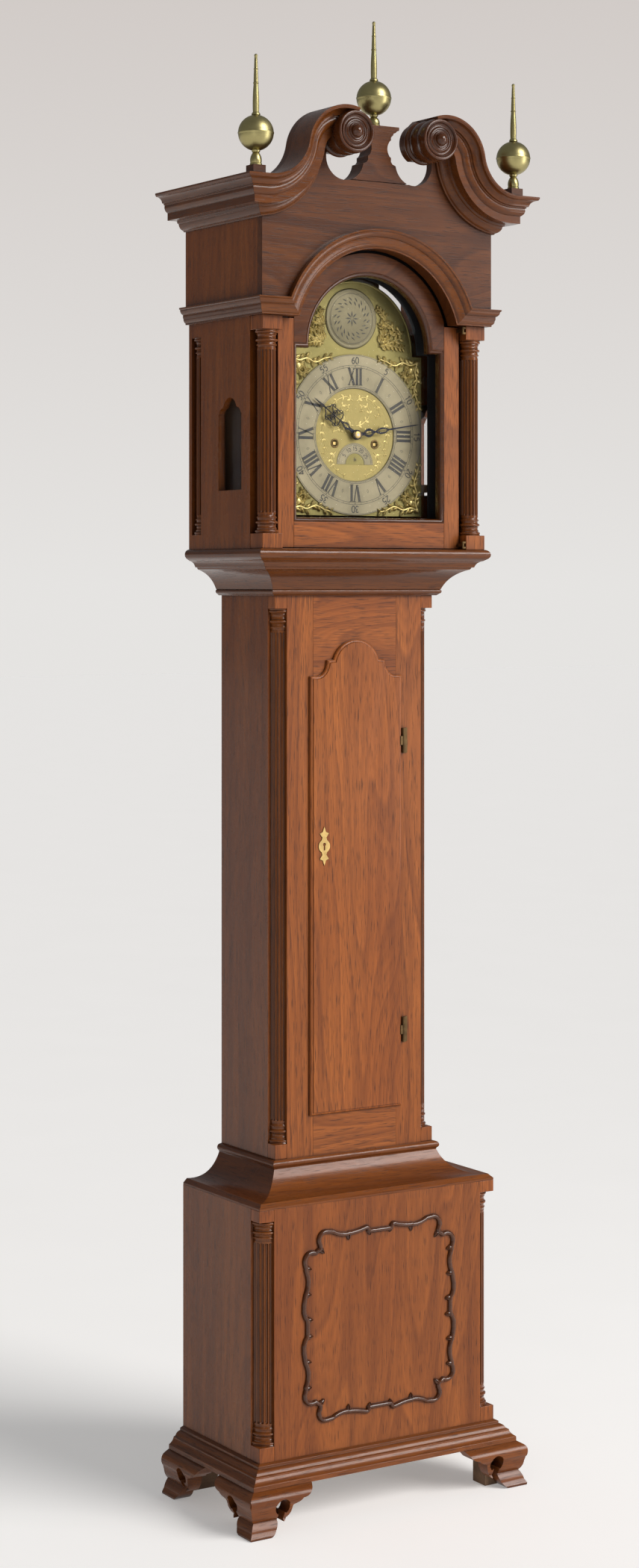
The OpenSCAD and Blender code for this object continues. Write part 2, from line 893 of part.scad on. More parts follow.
module pendulum() {
    color(steel)
        difference() {
            union() {
                translate([0, fy(rod_d), bob_z - 62])
                    cylinder(r = 2.2, h = anchor_z - bob_z + 40, $fn = 24);
                // Slotted block that takes the crutch's pin
                board(-5, 5, 61, 71, anchor_z - 118, anchor_z - 103);
            }
            board(-1.7, 1.7, 58, 74, anchor_z - 114, anchor_z - 107);
        }
    // Suspension spring and its block on the back cock
    color(brass) {
        board(-0.3, 0.3, 63, 69, anchor_z - 24, anchor_z + 16);
        board(-5, 5, 62, 70, anchor_z + 13.4, anchor_z + 19);
    }
    color(brass)
        translate([0, fy(rod_d - 9), bob_z])
            rotate([90, 0, 0])
                rotate_extrude($fn = 96)
                    polygon([[0, 0], [14, 0.4], [30, 2.4], [44, 5.4], [54, 8.6], [54, 9.4],
                             [44, 12.6], [30, 15.6], [14, 17.6], [0, 18]]);
    color(brass)
        translate([0, fy(rod_d), bob_z - 66])
            cylinder(r = 6, h = 5, $fn = 24);
}

// Grooved drum with its ratchet and squared winding arbor
module barrel(side) {
    x = side * drum_x;
    color(brass)
        translate([x, fy(98.5), drum_z])
            rotate([90, 0, 0])
                rotate_extrude($fn = 72)
                    polygon([[drum_arbor_r, 0], [drum_r + 4, 0], [drum_r + 4, 2],
                             [drum_r, 2], [drum_r, 36], [drum_r + 4, 36], [drum_r + 4, 38],
                             [drum_arbor_r, 38]]);
    color(steel) {
        bar(x, drum_z, drum_arbor_r, plate_back - 1, plate_front + 10);
        translate([x, fy(plate_front + 9), drum_z])
            rotate([90, 45, 0])
                cylinder(r = 3.6, h = 20, $fn = 4);
    }
}

module going_barrel() {
    barrel(-1);
}

module strike_barrel() {
    barrel(1);
    color(brass)
        difference() {
            train_wheel(84, great_m, drum_x, drum_z, great_d + 5.5, 2.4);
            bar(drum_x, drum_z, drum_arbor_r, great_d + 4, great_d + 9);
        }
}

// Weights hang from a pulley at the bottom of their fall
pulley_z = 1600 - weight_fall;

module weight(side) {
    x = side * weight_x;
    color(lead)
        translate([x, fy(line_d), pulley_z - 230])
            rotate_extrude($fn = 72)
                polygon(concat([[0, 0], [26, 0], [28, 2], [28, 178], [26, 180]],
                    [[6, 186], [3, 190], [0, 190]]));
    color(brass) {
        difference() {
            translate([x - 1.5, fy(line_d + 8), pulley_z - 41])
                cube([3, 16, 52]);
            translate([x - 2, fy(line_d + 5), pulley_z - 22])
                cube([4, 10, 40]);
        }
        bar(x, pulley_z, 2, line_d - 7, line_d + 7);
        translate([x, fy(line_d - 3.5), pulley_z])
            rotate([90, 0, 0])
                rotate_extrude($fn = 60)
                    polygon([[0, 0], [20, 0], [20, 1], [18.4, 3.5], [20, 6], [20, 7], [0, 7]]);
    }
}

module going_weight() {
    weight(-1);
}

module strike_weight() {
    weight(1);
}

// Two falls of gut line from the seatboard to the weight's pulley
module lines(side) {
    color(gut)
        for (x = [-20.9, 20.9])
            translate([side * weight_x + x, fy(line_d), pulley_z])
                cylinder(r = 0.6, h = seat_z - pulley_z, $fn = 24);
}

module going_line() {
    lines(-1);
}

module strike_line() {
    lines(1);
}

module bell_hammer() {
    head_z = hammer_z + 84;
    color(steel) {
        bar(hammer_x, hammer_z, arbor_r, plate_back - 3, plate_front + 1);
        board(hammer_x - 3, hammer_x + 3, 77, plate_back - 2, hammer_z - 3, hammer_z + 3);
        translate([hammer_x, fy(80), hammer_z])
            cylinder(r = 1.4, h = 84, $fn = 24);
        translate([hammer_x - 8, fy(80), head_z])
            rotate([0, 90, 0])
                cylinder(r = 5, h = 18, $fn = 32);
    }
}

// ---------- hood ----------

light_z0 = 1748;
light_z1 = 1880;
light_w = 77;
left_light_d = 102;
right_light_d = 60;

// Shouldered arch of a side light, in [depth, height]
function light_outline(d0) =
    let (d1 = d0 + light_w, c = d0 + light_w / 2)
    concat(
        [[d0, light_z0], [d1, light_z0], [d1, light_z1]],
        bow([d1 - 2, light_z1], [d1 - 14, light_z1 + 10], -2.5, 3),
        arc([c, light_z1 + 4], 23, 18, 162, 10),
        bow([d0 + 14, light_z1 + 10], [d0 + 2, light_z1], -2.5, 3),
        [[d0, light_z1]]);

// Rectangular rebate for the glass, or the pane itself, on the inner face
module light_pane(d0, k, x0, x1) {
    board(x0, x1, d0 - k, d0 + light_w + k, light_z0 - k, light_z1 + 27 + k);
}

// Prism through a side, its outline in depth and height
module through_side(outline, x0, x1) {
    translate([x0, 0, 0])
        rotate([90, 0, 90])
            linear_extrude(x1 - x0)
                polygon([for (p = outline) [fy(p.x), p.y]]);
}

hood_half = hood_w / 2;
frieze_half = frieze_w / 2;
rear_r = 16;

module hood_side(light_d) {
    // Left-hand side; the right-hand one is its mirror image
    inner = hood_half - hood_t;
    difference() {
        union() {
            board(-hood_half, -inner, 0, hood_front, hood_z0, hood_z1 + 1);
            board(-frieze_half, -hood_half + 11, 0, frieze_d - hood_t, hood_z1, cornice_top - 6);
            board(-inner - 0.5, -inner + 14, 0, 44, hood_z0 + 16, hood_z1);
            board(-inner + 13.5, -trunk_w / 2 - 3, 0, back_t, hood_z0 + 16, hood_z1);
        }
        board(-hood_half - 1, -inner, 10, 42, hood_z0 + 25, hood_z1 - 24);
        through_side(light_outline(light_d), -hood_half - 1, -inner + 1);
        light_pane(light_d, 5, -inner - 5, -inner + 1);
    }
}

module hood_side_left() {
    color(walnut)
        hood_side(left_light_d);
}

module hood_side_right() {
    color(walnut)
        mirror([1, 0, 0])
            hood_side(right_light_d);
}

module side_glass() {
    inner = hood_half - hood_t;
    color(clear) {
        light_pane(left_light_d, 4.6, -inner - 5, -inner - 2);
        mirror([1, 0, 0])
            light_pane(right_light_d, 4.6, -inner - 5, -inner - 2);
    }
}

module hood_base_frame() {
    inner = hood_half - hood_t;
    color(walnut)
        union() {
            pair()
                board(-inner, -trunk_w / 2 - 2, 0, hood_front, hood_z0, hood_z0 + 15);
            board(-inner, inner, 188, hood_front, hood_z0, hood_z0 + 40);
        }
}

module hood_columns() {
    color(walnut)
        pair() {
            translate([-hood_half + 20, fy(hood_d - 20), 0])
                column(rear_r, hood_z0 + 25, hood_z1 - 24, 32, 31, 16);
            board(-hood_half, -hood_half + 40, hood_d - 40, hood_d, hood_z0, hood_z0 + 25);
            board(-hood_half, -hood_half + 40, hood_d - 40, hood_d, hood_z1 - 24, hood_z1);
            intersection() {
                translate([-hood_half + 16, fy(26), 0])
                    column(rear_r - 2, hood_z0 + 25, hood_z1 - 24, 32, 31, 16);
                board(-hood_half, -hood_half + hood_t, 10, 42, hood_z0, hood_z1);
            }
        }
}

mask_d = 186;

module hood_mask() {
    inner = hood_half - hood_t;
    color(black)
        difference() {
            board(-inner, inner, mask_d, mask_d + 2, hood_z0 + 40, 2180);
            slab(dial_outline(149.5, hood_z0 + 39, arch_z - 5, 125), mask_d - 1, mask_d + 3);
        }
}

// Moulding over the dial door: straight at both sides, arched in the middle
module arch_moulding() {
    join_in = sqrt(arch_in * arch_in - pow(hood_z1 - arch_z, 2));
    join_out = sqrt(arch_out * arch_out - pow(hood_z1 + 29.5 - arch_z, 2));
    slope = (join_out - join_in) / 29.5;
    wedge = [[join_in - slope * 60, hood_z1 - 60], [join_out + slope * 200, hood_z1 + 229.5],
             [-join_out - slope * 200, hood_z1 + 229.5], [-join_in + slope * 60, hood_z1 - 60]];
    flat = [for (p = mid_prof) [p.x, p.y + hood_z1]];
    color(walnut) {
        difference() {
            wrap_moulding(frieze_half, frieze_d, flat);
            slab(wedge, frieze_d - 30, frieze_d + 60);
        }
        intersection() {
            translate([0, back_y, arch_z])
                rotate([90, 0, 0])
                    rotate_extrude($fn = 180)
                        polygon(concat(
                            [[arch_in, frieze_d], [arch_out, frieze_d]],
                            [for (p = mid_prof) [arch_in + p.y * arch_scale, frieze_d + p.x]]));
            slab(wedge, frieze_d - 30, frieze_d + 60);
        }
    }
}

// ---------- pediment ----------

low_c = [-253, cornice_top + neck_r_low];
top_c = [-103, cornice_top + 49.5];
span_v = low_c - top_c;
join_a = atan2(span_v.y, span_v.x);
end_a = 72;

// Swan-neck path, left side: points on the top edge with the way in to the moulding
function neck(n) = concat(
    [for (i = [0 : n]) let (a = -90 + (join_a - 90) * i / n)
        [low_c + neck_r_low * [cos(a), sin(a)], [cos(a), sin(a)]]],
    [for (i = [0 : n + 4]) let (a = join_a + (end_a - join_a) * i / (n + 4))
        [top_c + (norm(span_v) - neck_r_low) * [cos(a), sin(a)], [-cos(a), -sin(a)]]]);

neck_path = neck(9);

crown_section = concat([[0, 0]], crown_prof, [[0, 64]]);

function crown_ring(pt, dir) =
    [for (q = crown_section)
        [pt.x + dir.x * q.y, fy(frieze_d + q.x), pt.y + dir.y * q.y]];

// The straight start runs past the corner and is cut off in the mitre plane
scroll_start = crown_ring([-frieze_half - mitre_reach, cornice_top], [0, -1]);
scroll_rings = concat([scroll_start], [for (s = neck_path) crown_ring(s[0], s[1])]);

module scroll() {
    m = len(scroll_rings[0]);
    n = len(scroll_rings);
    difference() {
        intersection() {
            polyhedron(
                points = [for (ring = scroll_rings) each ring],
                faces = concat(
                    [[for (j = [m - 1 : -1 : 0]) j]],
                    [[for (j = [0 : m - 1]) (n - 1) * m + j]],
                    [for (i = [0 : n - 2], j = [0 : m - 1])
                        let (a = i * m + j, b = i * m + (j + 1) % m)
                        each [[a, b, b + m], [a, b + m, a + m]]]));
            translate([0, 0, hood_z1])
                linear_extrude(600)
                    polygon([[-frieze_half + 5, fy(frieze_d - 5)],
                             [-frieze_half - mitre_reach, fy(frieze_d + mitre_reach)],
                             [0, fy(frieze_d + mitre_reach)], [0, fy(frieze_d - 5)]]);
        }
        bar(-rosette_x, rosette_z, rosette_r + 0.2, frieze_d - 1, frieze_d + 90);
    }
}

rosette_z = 2352;

module scroll_left() {
    color(walnut)
        scroll();
}

module scroll_right() {
    color(walnut)
        mirror([1, 0, 0])
            scroll();
}

// Top edge of the tympanum, left half, and its two round cut-outs
cut_x = 71;
cut_z = 2316;
cut_r = 38;
plinth_z = cut_z - cut_r + 1;

tympanum_left = concat(
    [[-frieze_half, hood_z1], [-frieze_half, cornice_top]],
    [for (s = neck_path) s[0]],
    arc([-rosette_x, rosette_z], rosette_r - 1, 60, -60, 8),
    [[-cut_x - cut_r, cut_z + 6]],
    arc([-cut_x, cut_z], cut_r, 180, 285, 10),
    [[-cut_x + 12, plinth_z]]);

module tympanum() {
    color(walnut)
        difference() {
            union() {
                slab(concat(tympanum_left, rev(flip(tympanum_left))),
                     frieze_d - hood_t, frieze_d);
                // Thicker round the arch, as its soffit reaches back to the door
                board(-218, 218, glass_door_d + glass_door_t + 1, frieze_d - hood_t + 1,
                      hood_z1, cornice_top - 30);
            }
            bar(0, arch_z, arch_in, frieze_d - 30, frieze_d + 1);
        }
}

module cornice_returns() {
    prof = [for (p = crown_prof) [p.x, cornice_top - p.y]];
    color(walnut)
        pair()
            side_return(frieze_half, frieze_d, prof);
}

module rosettes() {
    color(walnut_dark)
        pair()
            translate([-rosette_x, fy(frieze_d), rosette_z])
                rotate([90, 0, 0])
                    rotate_extrude($fn = 72)
                        polygon(concat(
                            [[0, 0], [rosette_r - 1, 0], [rosette_r, 6], [rosette_r, 14]],
                            bow([rosette_r - 1, 17], [rosette_r - 1, 38], 2.5, 6),
                            [[rosette_r, 42], [rosette_r, 58]],
                            [[rosette_r - 1.5, 62], [rosette_r - 4, 62.5], [rosette_r - 7, 60.5],
                             [rosette_r - 10, 62.5], [rosette_r - 14, 62.5], [rosette_r - 17, 60],
                             [rosette_r - 21, 60], [rosette_r - 23, 63]],
                            arc([0, 61], 11, 20, 90, 5)));
}

plinth_half = concat(
    [[0, plinth_z], [cut_x - 14, plinth_z + 1]],
    rev(arc([cut_x, cut_z], cut_r, 190, 245, 6)),
    [[24, cut_z], [24, cut_z + 7]],
    bow([21, cut_z + 9], [22, cut_z + 36], 5, 6),
    [[24, cut_z + 37], [24, cut_z + 42]],
    [[29, cut_z + 47], [29, cut_z + 49], [34, cut_z + 51], [41, cut_z + 56], [41, cut_z + 61],
     [0, cut_z + 61]]);

module plinth() {
    color(walnut)
        slab(concat(plinth_half, rev(flip([for (p = plinth_half) if (p.x > 0) p]))),
             frieze_d - 36, frieze_d);
}

module hood_top() {
    color(board_brown) {
        board(-hood_half + 12, hood_half - 12, 0, frieze_d - 40, cornice_top - 18, cornice_top - 6);
        pair()
            board(-side_finial_x - 12, -side_finial_x + 12, side_finial_d - 12,
                  side_finial_d + 12, cornice_top, cornice_top + 16);
    }
}

// Brass finial: foot, ball and ringed spire, standing on z = 0
module finial(foot, neck_h, ball, spire) {
    ball_z = neck_h + ball * 0.97;
    top = ball_z + ball - 1;
    color(brass)
        rotate_extrude($fn = 72)
            polygon(concat(
                [[0, 0], [foot, 0], [foot, 3]],
                bow([foot - 1, 3.5], [5.2, neck_h - 4], -2, 6),
                [[7, neck_h - 2]],
                arc([0, ball_z], ball, -76, 76, 16),
                [[6.8, top], [7.4, top + 2.5], [4.8, top + 6]],
                [[4.2, top + spire * 0.52], [5.8, top + spire * 0.54], [4, top + spire * 0.58]],
                [[3.6, top + spire * 0.73], [5.2, top + spire * 0.755], [3.3, top + spire * 0.78]],
                [[2.6, top + spire - 6], [3.6, top + spire - 3], [1.2, top + spire],
                 [0, top + spire]]));
}

side_finial_x = 265;
side_finial_d = 286;
finial_x_front = frieze_d - 18;

module side_finials() {
    for (s = [-1, 1])
        translate([s * side_finial_x, fy(side_finial_d), cornice_top + 16])
            finial(10.3, 25, 29.8, 103);
}

module centre_finial() {
    translate([0, fy(finial_x_front), cut_z + 61])
        finial(11, 20, 30, 104);
}

// ---------- dial door ----------

glass_door_half = 187.5;
glass_door_t = 20;
glass_door_d = 209.7;
glass_half = 147.5;
pivot_x = 184.6;
pivot_d = 246;
hood_hinge_z = [hood_z0 + 8, hood_z1 - 8];
hood_pin_r = 1.2;

module hood_door() {
    z0 = hood_z0 + 1.5;
    head_r = arch_in - 4.5;
    color(walnut)
        difference() {
            union() {
                board(-glass_door_half, glass_door_half, glass_door_d,
                      glass_door_d + glass_door_t, z0, hood_z1 - 1.5);
                slab(arc([0, arch_z], head_r, 0, 180, 48), glass_door_d,
                     glass_door_d + glass_door_t);
            }
            slab(dial_outline(glass_half, dial_z - 145.5, arch_z - 5, 123),
                 glass_door_d - 1, glass_door_d + glass_door_t + 1);
            slab(dial_outline(glass_half + 5, dial_z - 150.5, arch_z, 128),
                 glass_door_d - 1, glass_door_d + 4.5);
        }
}

module hood_door_glass() {
    color(clear)
        slab(dial_outline(glass_half + 4.7, dial_z - 150.2, arch_z - 0.3, 127.7),
             glass_door_d + 1.5, glass_door_d + 4.5);
}

module hood_hinge_pins() {
    color(brass)
        for (z = hood_hinge_z)
            translate([pivot_x, fy(pivot_d), z]) {
                for (s = [-1, 1])
                    translate([0, 0, s * 4.6 - 1.5])
                        cylinder(r = 2.2, h = 3, $fn = 32);
                translate([0, 0, -6])
                    cylinder(r = hood_pin_r, h = 12, $fn = 32);
                for (s = [-1, 1])
                    translate([1, -1.8, s * 4.6 - 1.5])
                        cube([4, 3.6, 3]);
            }
}

module hood_hinge_straps() {
    color(brass)
        for (z = hood_hinge_z)
            difference() {
                translate([pivot_x, fy(pivot_d), z]) {
                    translate([0, 0, -2.8])
                        cylinder(r = 2.2, h = 5.6, $fn = 32);
                    translate([-2.2, 0, -2.8])
                        cube([1.8, pivot_d - glass_door_d - glass_door_t, 5.6]);
                }
                translate([pivot_x, fy(pivot_d), z - 4])
                    cylinder(r = hood_pin_r + 0.05, h = 8, $fn = 32);
            }
}

feet();
base_floor();
base_front();
base_sides();
base_columns();
base_bead();
base_moulding();
flare_moulding();
backboard();
trunk_sides();
trunk_front();
trunk_columns();
support_moulding();
waist_hinge_pins();
waist_door();
waist_hinge_leaves();
escutcheon();
seatboard();
movement_plates();
dial_plate();
chapter_ring();
spandrels();
name_disc();
bell();
centre_arbor();
minute_hand();
hour_hand();
great_wheel();
third_wheel();
escape_wheel();
anchor();
pendulum();
going_barrel();
strike_barrel();
going_weight();
strike_weight();
going_line();
strike_line();
bell_hammer();
hood_side_left();
hood_side_right();
side_glass();
hood_base_frame();
hood_columns();
hood_mask();
arch_moulding();
tympanum();
cornice_returns();
scroll_left();
scroll_right();
rosettes();
plinth();
hood_top();
centre_finial();
side_finials();
hood_hinge_pins();
hood_door();
hood_door_glass();
hood_hinge_straps();
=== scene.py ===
"""Tall-case clock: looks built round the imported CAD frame."""
import random
from math import acos, asin, atan2, cos, degrees, hypot, pi, radians, sin, sqrt, tau

import bmesh
import bpy
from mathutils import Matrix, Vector
from mathutils.geometry import tessellate_polygon


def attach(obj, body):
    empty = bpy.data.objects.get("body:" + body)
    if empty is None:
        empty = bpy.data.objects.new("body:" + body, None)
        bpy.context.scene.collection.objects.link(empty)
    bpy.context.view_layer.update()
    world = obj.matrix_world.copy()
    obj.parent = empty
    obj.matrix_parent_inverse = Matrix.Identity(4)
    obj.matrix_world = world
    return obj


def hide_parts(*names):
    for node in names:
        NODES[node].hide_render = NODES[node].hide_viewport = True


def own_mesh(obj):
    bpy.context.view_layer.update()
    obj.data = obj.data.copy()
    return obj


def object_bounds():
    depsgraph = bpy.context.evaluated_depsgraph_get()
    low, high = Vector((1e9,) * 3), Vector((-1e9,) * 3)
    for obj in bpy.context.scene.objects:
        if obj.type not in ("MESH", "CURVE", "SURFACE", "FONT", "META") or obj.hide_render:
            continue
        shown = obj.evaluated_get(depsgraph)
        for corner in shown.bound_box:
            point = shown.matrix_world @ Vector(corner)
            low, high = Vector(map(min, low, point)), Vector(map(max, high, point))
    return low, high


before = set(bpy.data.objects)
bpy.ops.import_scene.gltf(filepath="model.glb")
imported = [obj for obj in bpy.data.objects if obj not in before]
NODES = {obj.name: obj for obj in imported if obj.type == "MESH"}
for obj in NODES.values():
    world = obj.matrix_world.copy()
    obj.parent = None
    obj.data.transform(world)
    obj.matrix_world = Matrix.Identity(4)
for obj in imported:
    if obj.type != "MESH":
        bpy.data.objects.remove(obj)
CAD_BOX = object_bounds()
BACK = CAD_BOX[1].y


def at(x, d, z):
    """Millimetres, with the depth counted from the back, to the frame's metres."""
    return Vector((x / 1000, BACK - d / 1000, z / 1000))


# --- materials ---


class Tree:
    """A material's node tree, with short calls for the nodes used here."""

    def __init__(self, name):
        self.mat = bpy.data.materials.new(name)
        self.mat.use_nodes = True
        self.t = self.mat.node_tree
        self.bsdf = self.t.nodes["Principled BSDF"]

    def put(self, sock, v):
        """Feeds an input from a node's output, a number, a vector or a colour."""
        if isinstance(v, bpy.types.NodeSocket):
            self.t.links.new(v, sock)
        else:
            sock.default_value = (*v, 1) if sock.type == "RGBA" else v

    def add(self, kind, sockets, **values):
        n = self.t.nodes.new(kind)
        for k, v in values.items():
            setattr(n, k, v)
        for k, v in sockets.items():
            self.put(n.inputs[k], v)
        return n.outputs

    def coords(self, scale=(1, 1, 1), shift=(0, 0, 0)):
        where = self.add("ShaderNodeTexCoord", {})["Object"]
        return self.add("ShaderNodeMapping",
                        {"Scale": scale, "Location": shift, "Vector": where})[0]

    def noise(self, vec, scale, detail=3.0, rough=0.55, distort=0.0):
        return self.add("ShaderNodeTexNoise", {"Scale": scale, "Detail": detail, "Vector": vec,
                                               "Roughness": rough, "Distortion": distort})[0]

    def math(self, op, a, b=0.0, c=0.0):
        return self.add("ShaderNodeMath", {0: a, 1: b, 2: c}, operation=op)[0]

    def ramp(self, fac, stops):
        n = self.t.nodes.new("ShaderNodeValToRGB")
        els = n.color_ramp.elements
        while len(els) < len(stops):
            els.new(0.5)
        for e, (p, c) in zip(els, stops):
            e.position = p
            e.color = (*c, 1) if isinstance(c, tuple) else (c, c, c, 1)
        self.put(n.inputs[0], fac)
        return n.outputs[0]

    def mix(self, fac, a, b):
        return self.add("ShaderNodeMix", {0: fac, 6: a, 7: b}, data_type="RGBA")[2]

    def stain(self, base, mask, amount, color):
        """Lays a colour over the base where the mask is light."""
        return self.mix(self.math("MULTIPLY", mask, amount), base, color)

    def bump(self, height, strength, dist, under=None):
        sockets = {"Strength": strength, "Distance": dist, "Height": height}
        if under is not None:
            sockets["Normal"] = under
        return self.add("ShaderNodeBump", sockets)[0]

    def painted_corner_shade(self, reach, low):
        """Mask of painted shade where surfaces meet, from ambient occlusion; it also stands for
        the dirt that settles there.
        """
        ao = self.add("ShaderNodeAmbientOcclusion", {"Distance": reach}, samples=4)["AO"]
        return self.ramp(ao, [(low, 1.0), (0.85, 0.0)])

    def finish(self, color, rough, **sockets):
        sockets.update({"Base_Color": color, "Roughness": rough})
        for name, v in sockets.items():
            self.put(self.bsdf.inputs[name.replace("_", " ")], v)
        return self.mat


def along(grain, k):
    """Scale that stretches a pattern along the grain."""
    return tuple(k if axis == grain else 1 for axis in "xyz")


def wood(name, grain, tone, seed, figure=1.0, gloss=0.30, swirl=0.0, coat=0.16):
    """Varnished walnut with its grain along one axis."""
    t = Tree(name)
    rnd = random.Random(seed)
    shift = tuple(rnd.uniform(-9, 9) for _ in range(3))
    # Growth figure: contour lines of a field stretched along the grain
    field = t.noise(t.coords(along(grain, 0.13 + swirl), shift), 5.2, 2.0, 0.4, 0.3 + swirl)
    rings = t.math("FRACT", t.math("MULTIPLY", field, 24.0))
    rings = t.ramp(rings, [(0.0, 0.0), (0.55, 0.30), (0.88, 1.0), (1.0, 0.0)])
    fine = t.math("FRACT", t.math("MULTIPLY", field, 96.0))
    fine = t.ramp(fine, [(0.0, 0.0), (0.7, 0.8), (1.0, 0.0)])
    # Broad clouds of light and dark
    cloud = t.noise(t.coords(along(grain, 0.22), shift), 3.4, 3.0, 0.6)
    streak = t.noise(t.coords(along(grain, 0.02), shift), 46.0, 3.0, 0.6)
    fibre = t.noise(t.coords(along(grain, 0.035), shift), 330.0, 4.0, 0.65)
    pores = t.noise(t.coords(along(grain, 0.045), shift), 720.0, 2.0, 0.5)
    pores = t.ramp(pores, [(0.34, 1.0), (0.43, 0.0)])
    light = (0.44 * tone, 0.134 * tone, 0.026 * tone)
    mid = (0.285 * tone, 0.074 * tone, 0.012 * tone)
    dark = (0.090 * tone, 0.020 * tone, 0.005 * tone)
    base = t.ramp(cloud, [(0.30, mid), (0.70, light)])
    base = t.stain(base, t.ramp(streak, [(0.42, 0.0), (0.68, 1.0)]), 0.38, dark)
    base = t.stain(base, rings, 0.42 * figure, dark)
    base = t.stain(base, fine, 0.26 * figure, dark)
    base = t.stain(base, t.ramp(fibre, [(0.3, 1.0), (0.7, 0.0)]), 0.30, dark)
    base = t.stain(base, pores, 0.6, (0.020, 0.006, 0.003))
    # Painted shade: darker in the corners from ambient occlusion, also standing for old varnish
    # gathered there
    base = t.stain(base, t.painted_corner_shade(0.014, 0.25), 0.8, (0.016, 0.005, 0.003))
    worn = t.noise(t.coords(shift=shift), 23.0, 5.0, 0.6)
    rough = t.math("MULTIPLY_ADD", worn, 0.16, gloss - 0.01)
    rough = t.math("MULTIPLY_ADD", pores, 0.12, rough)
    n = t.bump(fibre, 0.12, 0.0004)
    n = t.bump(pores, 0.25, 0.0003, n)
    n = t.bump(t.noise(t.coords(along(grain, 0.4), shift), 14.0, 2.0), 0.25, 0.0012, n)
    return t.finish(base, rough, Normal=n, Coat_Weight=coat, Coat_Roughness=0.09,
                    Specular_IOR_Level=0.2)


def raw_wood(name, grain, color, seed):
    """Unpolished secondary wood, saw-marked and dusty."""
    t = Tree(name)
    shift = (seed * 1.7, seed * 0.9, seed * 0.4)
    fibre = t.noise(t.coords(along(grain, 0.04), shift), 240.0, 4.0, 0.6)
    rings = t.noise(t.coords(along(grain, 0.1), shift), 26.0, 3.0, 0.6, 0.4)
    stain = t.noise(t.coords(shift=shift), 5.0, 5.0, 0.6)
    dark = tuple(c * 0.42 for c in color)
    base = t.mix(t.ramp(rings, [(0.35, 0.0), (0.65, 1.0)]), color, dark)
    base = t.stain(base, fibre, 0.5, dark)
    base = t.stain(base, t.ramp(stain, [(0.4, 0.0), (0.7, 1.0)]), 0.4, dark)
    return t.finish(base, t.math("MULTIPLY_ADD", stain, 0.15, 0.68),
                    Normal=t.bump(fibre, 0.4, 0.0006))


def metal(name, color, rough, tarnish, dark, scale=60.0, pit=0.15):
    """Metal with tarnish in patches, painted shade in the corners that also stands for grime, and
    fine scratches.
    """
    t = Tree(name)
    patch = t.noise(t.coords(), scale, 6.0, 0.62, 0.3)
    fine = t.noise(t.coords(), 620.0, 3.0, 0.6)
    base = t.stain(color, t.ramp(patch, [(0.38, 1.0), (0.66, 0.0)]), tarnish, dark)
    # Painted shade in the corners, from ambient occlusion, also standing for grime
    base = t.stain(base, t.painted_corner_shade(0.004, 0.3), 0.75, tuple(c * 0.35 for c in dark))
    r = t.math("MULTIPLY_ADD", patch, 0.22, rough - 0.06)
    r = t.math("MULTIPLY_ADD", fine, 0.10, r)
    return t.finish(base, r, Normal=t.bump(fine, pit, 0.0003), Metallic=1.0)


def matte(name, color, rough):
    t = Tree(name)
    patch = t.noise(t.coords(), 90.0, 5.0, 0.6)
    base = t.mix(patch, tuple(c * 0.75 for c in color), tuple(c * 1.25 for c in color))
    return t.finish(base, t.math("MULTIPLY_ADD", patch, 0.2, rough - 0.1),
                    Normal=t.bump(patch, 0.2, 0.0005))


def glass(name):
    """Old glass: clear, barely bending and a little wavy."""
    t = Tree(name)
    wave = t.noise(t.coords(), 7.0, 2.0)
    return t.finish((0.98, 0.99, 0.985), 0.01, Normal=t.bump(wave, 0.02, 0.0005),
                    Transmission_Weight=1.0, IOR=1.25, Alpha=0.07)


